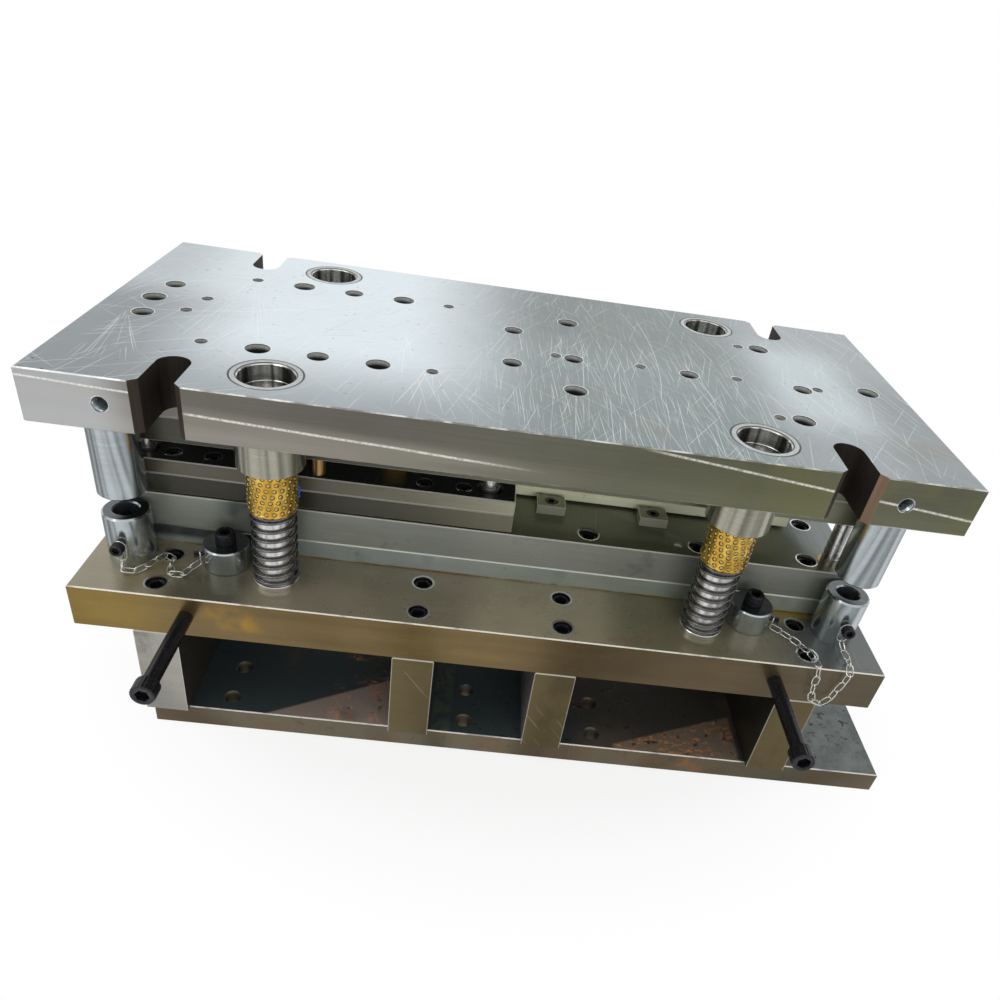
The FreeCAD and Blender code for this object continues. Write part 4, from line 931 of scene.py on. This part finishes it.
# %% [markdown]
# Limit posts come off a lathe: an upright bar with a chamfer, a deep counterbored pocket
# and faces turned across. The storage spacers are shorter slices of the same bar, each with
# a screw head on top that drops into a limit post's pocket when the set is put away.
# %% Limit posts and storage spacers
STOP_X, STOP_Y, STOP_RADIUS = 343.0, 120.0, 21.0
PUCK_X, PUCK_Y = 255.5, -119.0
low_stop = [
    (11, 194), (11, D + 49.6), (12.2, D + 51), (19.4, D + 51), (21, D + 49.4), (21, D + 1.5), (20.6, D),
    (6, D), (6, 194),
]
high_stop = [
    (11, 245.2), (12.2, 244), (19.4, 244), (21, 245.6), (21, 333.6), (20.5, 335), (6, 335), (6, 314),
    (11, 314),
]
puck = [
    (6.5, D), (20.2, D), (21, D + 0.9), (21, D + 23.2), (19.7, D + 24.5), (9.5, D + 24.5),
    (9.2, D + 24.2), (6.5, D + 24.2),
]
stop_spots = [(sx * STOP_X, sy * STOP_Y) for _, sx, sy in corners]
turned("limit_posts_low", low_stop, 80, all_at(stop_spots), turned_finish, "lower_die", "turned_steel",
       "lower_limit_posts")
turned("limit_posts_high", high_stop, 80, all_at(stop_spots), turned_finish, "upper_die", "turned_steel",
       "upper_limit_posts")
for side, sx in (("left", -1), ("right", 1)):
    turned(f"spacer_{side}_puck", puck, 80, [at(sx * PUCK_X, PUCK_Y)], turned_finish, f"spacer_{side}",
           "turned_steel", f"storage_spacer_{side}")

# %% [markdown]
# Socket head screws appear by the dozen, so one function makes them all. The head is spun
# with its socket in the profile; then the socket's ring of points is drawn in to a hexagon
# and every second point of the side is pressed in a little, which leaves the knurl that
# fingers grip. Doing it on the master means that each copy carries it for free.
# %% Socket head screws
def cap_screw(head, height, thread, shank=6.0):
    """A screw with the top of its head at z = 0, its shank pointing down."""
    steps = 48
    radius = head / 2
    socket = thread * 0.9 / 2
    depth = height * 0.5
    bevel = min(1.0, head * 0.06)
    bm = lathe([
        (0, -depth - 0.6), (socket, -depth), (socket, -0.5), (socket + 0.6, 0), (radius - bevel, 0),
        (radius, -bevel), (radius, -height + 0.4), (radius - 0.4, -height), (thread / 2, -height),
        (thread / 2, -height - shank), (0, -height - shank),
    ], steps)
    for v in bm.verts:
        r = math.hypot(v.co.x, v.co.y) / MM
        angle = math.atan2(v.co.y, v.co.x)
        if 0.1 < r < socket + 0.3 and v.co.z > (-depth - 0.5) * MM:
            fold = (angle % (math.pi / 3)) - math.pi / 6
            v.co.xy *= math.cos(math.pi / 6) / math.cos(fold)
        elif abs(r - radius) < 0.01 and round(angle / (2 * math.pi / steps)) % 2:
            v.co.xy *= 1 - 0.35 / radius
    return bm


def screws(name, body, node, size, places, shank=6.0):
    """One screw of a size at each place, each with its socket turned its own way."""
    twisted = [place @ Matrix.Rotation(spin.uniform(0, math.pi / 3), 4, "Z") for place in places]
    bm = joined(cap_screw(*size, shank), twisted)
    piece(name, bm, black_finish, body, "black_screw", node, sharp=25)


# width of the head, height of the head and thread
M14, M12, M10, M8, M4 = (21, 14, 14), (18, 12, 12), (15, 10, 10), (12, 8, 8), (6, 4, 4)
FRONT = (0, -1, 0)
TOP, STRIPPER_TOP, DIE_TOP = 380, 265, 228
link_room = 4.2  # between a stop's side and the head that keeps the chain's end link on
spin = random.Random(7)
shoe_spots = [(x, y) for x in (-308.0, -68.5, 68.5, 308.0) for y in (-159.0, -115.0, 115.0, 159.0)]
die_spots = [(s * x, y) for x in (88.0, 200.0, 312.0) for s in (-1, 1) for y in (-77.5, 71.5)]
die_spots += [(-325.0, -10.0), (325.0, -10.0)]
strip_spots = [(x, y) for x in (-311.0, -274.0, -77.0, -39.5) for y in (-79.0, 73.0)]
strip_spots += [(x, y) for x in (25.0, 292.0) for y in (-6.0, 73.0)]
top_spots = [(x, s * 86.0) for x in (-225.5, -124.0, 47.5, 253.0) for s in (-1, 1)]
top_spots += [(-344.0, 2.0), (344.0, 2.0)]
screws("shoe_screws", "lower_die", "parallel_screws", M14, all_at(shoe_spots, D - 3))
screws("die_screws", "lower_die", "die_plate_screws", M14, all_at(die_spots, DIE_TOP - 3))
screws("backing_screws", "stripper", "stripper_screws", M10, all_at(strip_spots, STRIPPER_TOP - 0.5))
screws("punch_screws", "upper_die", "upper_shoe_screws", M14, all_at(top_spots, TOP - 8))
screws("stop_screws", "lower_die", "lower_limit_screws", M12, all_at(stop_spots, 206))
screws("anchor_screws", "lower_die", "chain_anchor_screws", M8,
       [aim(s * STOP_X, -STOP_Y - STOP_RADIUS - link_room - 8, D + 25, FRONT) for s in (-1, 1)], 10.5)
screws("carrying_bolts", "lower_die", "carry_bolts", M14,
       [aim(s * SLOT_X, -SHOE_HALF - 100, 151.5, FRONT) for s in (-1, 1)], 113.5)
for side, sx in (("left", -1), ("right", 1)):
    away = (sx * math.cos(math.radians(25)), -math.sin(math.radians(25)), 0)
    reach = STOP_RADIUS + link_room + 4
    spots = [aim(sx * PUCK_X + away[0] * reach, PUCK_Y + away[1] * reach, D + 15, away)]
    hook = joined(cap_screw(*M4, 8.0), spots)
    screws(f"spacer_{side}_screws", f"spacer_{side}", f"spacer_screws_{side}", M12,
           [at(sx * PUCK_X, PUCK_Y, D + 36.5)], 8)
    piece(f"spacer_{side}_hook", hook, black_finish, f"spacer_{side}", "black_screw", sharp=25)

# %% [markdown]
# The stripper hangs from shoulder bolts whose shanks show in the gap between the plates.
# Its own guide posts carry three grooves for oil. Dowels are plain ground pins with rounded
# ends. All of them are turned pieces again, only with other profiles.
# %% Stripper bolts, small guide posts and dowels
bolt = [
    (0, 265), (5.2, 265), (6.5, 266), (6.5, 348.6), (6.1, 350), (8.6, 350), (9, 350.5), (9, 358.2),
    (8.3, 359), (4.8, 359), (4.8, 354.5), (0, 354),
]
bolt_spots = [
    (-339, 42), (-339, -38), (-175, 86), (-175, -86), (-9, 42), (-9, -42), (49, -13), (161, -13), (273, -13),
]
turned("shoulder_bolts", bolt, 36, all_at(bolt_spots), bronze_finish, "stripper", "hardened_steel",
       "stripper_bolts")
low, high = [corner[2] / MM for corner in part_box("stripper_guide_posts")]
sub_post = [(0, low), (8.0, low), (9, low + 1.2)]
for z in (236.0, 244.0, 252.0, 268.0, 276.0):
    sub_post += [(9, z - 0.9), (8.4, z - 0.5), (8.4, z + 0.5), (9, z + 0.9)]
sub_post += [(9, high - 0.5), (8.5, high), (0, high)]
sub_spots = [(x, y) for x in (-337.0, -14.5, 337.0) for y in (-74.0, 68.0)]
turned("small_posts", sub_post, 48, all_at(sub_spots), post_finish, "upper_die", "hardened_steel",
       "stripper_guide_posts")
low, high = [corner[2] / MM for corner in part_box("upper_dowels")]
dowel = [
    (0, low), (5.4, low), (6, low + 0.8), (6, high - 1.4), (5.2, high - 0.4), (3.6, high), (2.5, high),
    (2.5, high - 6), (0, high - 6.5),
]
dowel_spots = [(x, s * 86.0) for x in (-272.5, -77.5, 231.0) for s in (-1, 1)]
dowel_spots += [(-300.0, 15.0), (-307.5, -20.0), (32.0, -10.0), (114.0, -9.0), (209.0, -8.0), (289.5, -8.0)]
turned("dowels_high", dowel, 36, all_at(dowel_spots), rim_finish, "upper_die", "hardened_steel",
       "upper_dowels")
die_dowel = [(0, 190), (5, 190), (5, 226), (4.4, 226.8), (0, 227)]
turned("dowels_low", die_dowel, 32, all_at([(179, -77.5), (-179, 71.5)]), rim_finish, "lower_die",
       "hardened_steel", "die_dowels")

# %% [markdown]
# The stripper is pushed down by cast urethane springs, thick rings that bulge a little
# under load. They shorten as the press closes, between the stripper below and the upper shoe
# above; here each is made in place on no body.
# %% Stripper springs
low, high = [corner[2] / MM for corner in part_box("stripper_springs")]
ring = [(6, low + 0.4), (6.4, low), (11.2, low), (11.7, low + 0.5)]
ring += [(11.7 + 0.28 * math.sin(math.pi * i / 8), low + 0.5 + (high - low - 1) * i / 8) for i in range(1, 8)]
ring += [(11.7, high - 0.5), (11.2, high), (6.4, high), (6, high - 0.4)]
spring_spots = [(-250, -45), (-110, -45), (-250, 72), (-100, 70), (82, -2), (241, -2), (100, 68), (200, 62)]
rings = turned("urethane_springs", ring, 32, all_at(spring_spots), urethane_finish, None, "urethane",
               "stripper_springs")
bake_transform(rings)

# %% [markdown]
# Each safety chain is made of bent wire links. Where every link lies was settled in the CAD
# model, so the links are found there: each separate part of the node's mesh is one link,
# and the main axes of its points give its place, its length and how it is rolled. A round
# wire link of the same size then goes in the place of the faceted one.
# %% Safety chains
def islands(mesh):
    """The separate parts of a mesh, as arrays of points."""
    parent = list(range(len(mesh.vertices)))

    def root(i):
        while parent[i] != i:
            parent[i] = parent[parent[i]]
            i = parent[i]
        return i

    seen = {}
    for v in mesh.vertices:
        key = tuple(round(c, 6) for c in v.co)
        parent[root(v.index)] = root(seen.setdefault(key, v.index))
    for edge in mesh.edges:
        a, b = edge.vertices
        parent[root(a)] = root(b)
    groups = {}
    for v in mesh.vertices:
        groups.setdefault(root(v.index), []).append(tuple(v.co))
    return [numpy.array(points) for points in groups.values()]


def link_place(points):
    """Place of one link with its length along X and its width along Y, and its half sizes."""
    middle = points.mean(axis=0)
    axes = numpy.linalg.eigh(numpy.cov((points - middle).T))[1]
    length, width = Vector(axes[:, 2]), Vector(axes[:, 1])
    normal = length.cross(width)
    local = (points - middle) @ numpy.array([length, width, normal]).T
    centre = (local.max(axis=0) + local.min(axis=0)) / 2
    half = (local.max(axis=0) - local.min(axis=0)) / 2
    spot = Vector(middle) + length * centre[0] + width * centre[1] + normal * centre[2]
    return Matrix.Translation(spot) @ Matrix((length, width, normal)).transposed().to_4x4(), half


def wire_link(half, radius):
    """A stadium of round wire: two half turns of the section, joined by straight runs."""
    bend = half[1] - radius
    run = half[0] - half[1]
    bm = bmesh.new()
    section = bmesh.ops.create_circle(bm, cap_ends=False, radius=radius, segments=8)["verts"]
    place = Matrix.Translation((run, -bend, 0)) @ Matrix.Rotation(math.pi / 2, 4, "Y")
    bmesh.ops.transform(bm, matrix=place, verts=section)
    first = list(bm.edges)
    loop = first
    for sign in (1, -1):
        verts = list({v for e in loop for v in e.verts})
        spun = bmesh.ops.spin(bm, geom=loop + verts, cent=(sign * run, 0, 0), axis=(0, 0, 1),
                              dvec=(0, 0, 0), angle=math.pi, steps=8, use_duplicate=False)
        loop = [g for g in spun["geom_last"] if isinstance(g, bmesh.types.BMEdge)]
        if sign > 0:
            moved = bmesh.ops.extrude_edge_only(bm, edges=loop)["geom"]
            verts = [g for g in moved if isinstance(g, bmesh.types.BMVert)]
            bmesh.ops.translate(bm, vec=(-2 * run, 0, 0), verts=verts)
            edges = [g for g in moved if isinstance(g, bmesh.types.BMEdge)]
            loop = [e for e in edges if all(v in verts for v in e.verts)]
    bmesh.ops.bridge_loops(bm, edges=loop + first)
    bmesh.ops.recalc_face_normals(bm, faces=bm.faces)
    return bm


for side, sx in (("left", -1), ("right", 1)):
    bm = bmesh.new()
    links = islands(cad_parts[f"safety_chain_{side}"].data)
    for points in links:
        place, half = link_place(points)
        joined(wire_link(half, half[2]), [place], bm)
    print("links:", len(links))
    chain = piece(f"chain_{side}", bm, chain_finish, None, "zinc_chain", f"safety_chain_{side}", sharp=60)
    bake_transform(chain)

# %% [markdown]
# A push-in air fitting lifts parts off the stripper. It is blue moulded plastic: a collar
# to press, a waist and a barbed foot, on a thin brass stem that screws into the plate.
# %% Air fitting
low, high = [corner[2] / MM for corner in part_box("air_fitting")]
fitting_x, fitting_y = -192.7, -102.5
fitting = [
    (0, low), (3.2, low), (3.6, low + 0.4), (3.6, low + 3.4), (2.6, low + 3.9), (2.6, low + 4.6),
    (4, low + 5.2), (4, high - 2.6), (3.5, high - 2.1), (3.5, high - 1.5), (3.9, high - 1.1),
    (3.9, high - 0.3), (3.6, high), (2.1, high), (2.1, high - 4), (0, high - 4),
]
turned("fitting_body", fitting, 32, [at(fitting_x, fitting_y)], blue_finish, "stripper", "blue_plastic",
       "air_fitting")
stem = [(0, 0), (2.5, 0), (2.5, 1.4), (2.2, 1.8), (2.2, 2.4), (2.5, 2.8), (2.5, 5.2), (0, 5.2)]
turned("fitting_stem", stem, 24, [aim(fitting_x, -95.4, 255.0, FRONT)], bronze_finish, "stripper",
       "blue_plastic")

# %% [markdown]
# Every machined hole has its edge broken with a countersink, and that narrow cone is the
# brightest thing on a plate. The CAD holes are left sharp where the cone is under a
# millimetre, so here a thin ring is turned for each and set inside the mouth of its hole.
# %% Bright hole rims
lifting_holes = [aim(s * 320, t * SHOE_HALF, 357.5, (0, t, 0)) for s in (-1, 1) for t in (-1, 1)]
for name, body, radius, width, places in (
    ("upper_screws", "upper_die", 11.25, 0.7, all_at(top_spots, TOP)),
    ("upper_bolts", "upper_die", 10.0, 0.7, all_at(bolt_spots, TOP)),
    ("upper_dowels", "upper_die", 6.0, 0.6, all_at(dowel_spots, TOP)),
    ("shoe_screws", "lower_die", 11.25, 2.0, all_at(shoe_spots, D)),
    ("die_screws", "lower_die", 11.25, 1.3, all_at(die_spots, DIE_TOP)),
    ("backing_screws", "stripper", 8.25, 0.5, all_at(strip_spots, STRIPPER_TOP)),
    ("lifting_front", "upper_die", 7.0, 0.6, lifting_holes),
):
    outer, inner = radius - 0.02, radius - width
    turned(f"rims_{name}", [(outer, -0.03), (inner, -0.2), (inner, -0.9), (outer, -0.9)], 40, places,
           rim_finish, body, "hardened_steel")
pitch = 2.0
thread = []
for turn_number in range(1, 14):
    thread += [(6.9, -pitch * turn_number), (6.2, -pitch * (turn_number + 0.5))]
thread += [(6.9, -28.0), (6.97, -28.0), (6.97, -2.0)]
piece("lifting_threads", joined(lathe(thread, 32), lifting_holes), turned_finish, "upper_die", "shoe_steel",
      sharp=20)

# %% [markdown]
# Some solids stay as the CAD model has them, because they hide inside the set or are plain
# blocks. They still get a finish each, for anyone who opens the set and looks inside.
# %% Dress the remaining nodes
inner_finishes = {
    "stock_guide_screws": black_finish, "upper_limit_screws": black_finish, "round_punches": post_finish,
    "blade_punches": post_finish, "die_plate_bushes": bronze_finish, "stripper_bushes": bronze_finish,
}
for node, material in inner_finishes.items():
    dress(node, material)
print("dressed", len(inner_finishes), "inner nodes")

# %% [markdown]
# The floor and the surroundings are plain white, as in a product picture. The world is seen
# as white by the camera and in reflections from behind the set, while the room behind the
# camera is dimmer and has upright bands, which is what gives polished posts their stripes.
# Light that only reaches matt surfaces stays at one plain level.
# %% Room and floor
class Room(Finish):
    """The node graph of the world, with the looking direction as its place."""

    def __init__(self, world):
        self.tree = world.node_tree
        self.tree.nodes.clear()
        self.place = self.node("ShaderNodeTexCoord").outputs["Generated"]
        self.x, self.y, self.z = self.split(self.place)


def stripes(f, angle, seed):
    """Uneven light and dark parts round the horizon, as windows and walls give."""
    return f.patches(1.0, 2.0, 0.5, 0.4, 0.6, f.point(angle * 1.9, seed, seed))


world = bpy.data.worlds.new("room")
world.use_nodes = True
bpy.context.scene.world = world
room = Room(world)
turn_round = room.maths("ARCTAN2", room.x, 0 - room.y)
bands = stripes(room, turn_round, 0.3)
behind = room.ramp(room.y, 0.5, 0.05)
high = room.ramp(room.z, 0.35, 0.75)
dim = 0.14 + 0.8 * bands
dim = dim + (0.95 - dim) * high
shade = 1 - behind * (1 - dim)
seen = room.ray("Camera", "Glossy", "Transmission")
camera_ray = room.ray("Camera")
show = camera_ray + (1 - camera_ray) * shade
level = 0.55 + (show - 0.55) * seen
background = room.node("ShaderNodeBackground", inputs={"Color": room.grey(level), "Strength": 1.0})
room.node("ShaderNodeOutputWorld", inputs={"Surface": background.outputs[0]})


def make_floor_finish():
    f = Finish("white_floor", (0.9, 0.9, 0.9))
    cloud = f.noise(1.5, 2.0)
    base = f.node("ShaderNodeBsdfDiffuse", inputs={"Color": f.grey(0.9 + cloud * 0.02)})
    camera_ray = f.ray("Camera")
    bands = stripes(f, f.maths("ARCTAN2", f.x, 0 - f.y) * 1.6, 4.6)
    strength = camera_ray + (1 - camera_ray) * (0.25 + 0.75 * bands)
    glow = f.node("ShaderNodeEmission", inputs={"Color": f.grey(strength), "Strength": 1.0})
    seen = f.ray("Camera", "Glossy", "Transmission")
    distance = f.maths("SQRT", (f.x - 0.028) ** 2.0 * 0.6 + f.y ** 2.0)
    share = seen * (0.8 + 0.2 * f.ramp(distance, 0.2, 0.4))
    both = f.node("ShaderNodeMixShader", inputs={0: share, 1: base.outputs[0], 2: glow.outputs[0]})
    f.node("ShaderNodeOutputMaterial", inputs={"Surface": both.outputs[0]})
    return f.material


floor_bm = bmesh.new()
bmesh.ops.create_grid(floor_bm, x_segments=2, y_segments=2, size=6.0)
bmesh.ops.translate(floor_bm, vec=(0, 0, -0.0003), verts=floor_bm.verts)
floor_mesh = bpy.data.meshes.new("floor")
floor_bm.to_mesh(floor_mesh)
floor_bm.free()
floor_mesh.materials.append(make_floor_finish())
floor = placed("floor", floor_mesh)


def lamp(name, place, size, power, colour):
    """A lamp that looks at the middle of the set."""
    data = bpy.data.lights.new(name, "AREA")
    data.shape = "RECTANGLE"
    data.size, data.size_y = size
    data.energy = power
    data.color = colour
    thing = placed(name, data)
    thing.location = place
    thing.rotation_euler = (Vector(place) - Vector((0, 0, 0.2))).to_track_quat("Z", "Y").to_euler()
    return thing


lamps = [
    lamp("key", (-1.3, -0.5, 2.1), (1.4, 1.4), 13, (1.0, 0.985, 0.96)),
    lamp("back", (0.7, 1.7, 1.7), (2.2, 0.9), 9, (0.95, 0.98, 1.0)),
    lamp("front", (0.5, -2.1, 0.75), (1.6, 0.8), 15, (1.0, 0.98, 0.93)),
]
for one in lamps[1:]:
    one.visible_glossy = False
bpy.context.scene.view_settings.view_transform = "Standard"
print("lamps:", len(lamps))
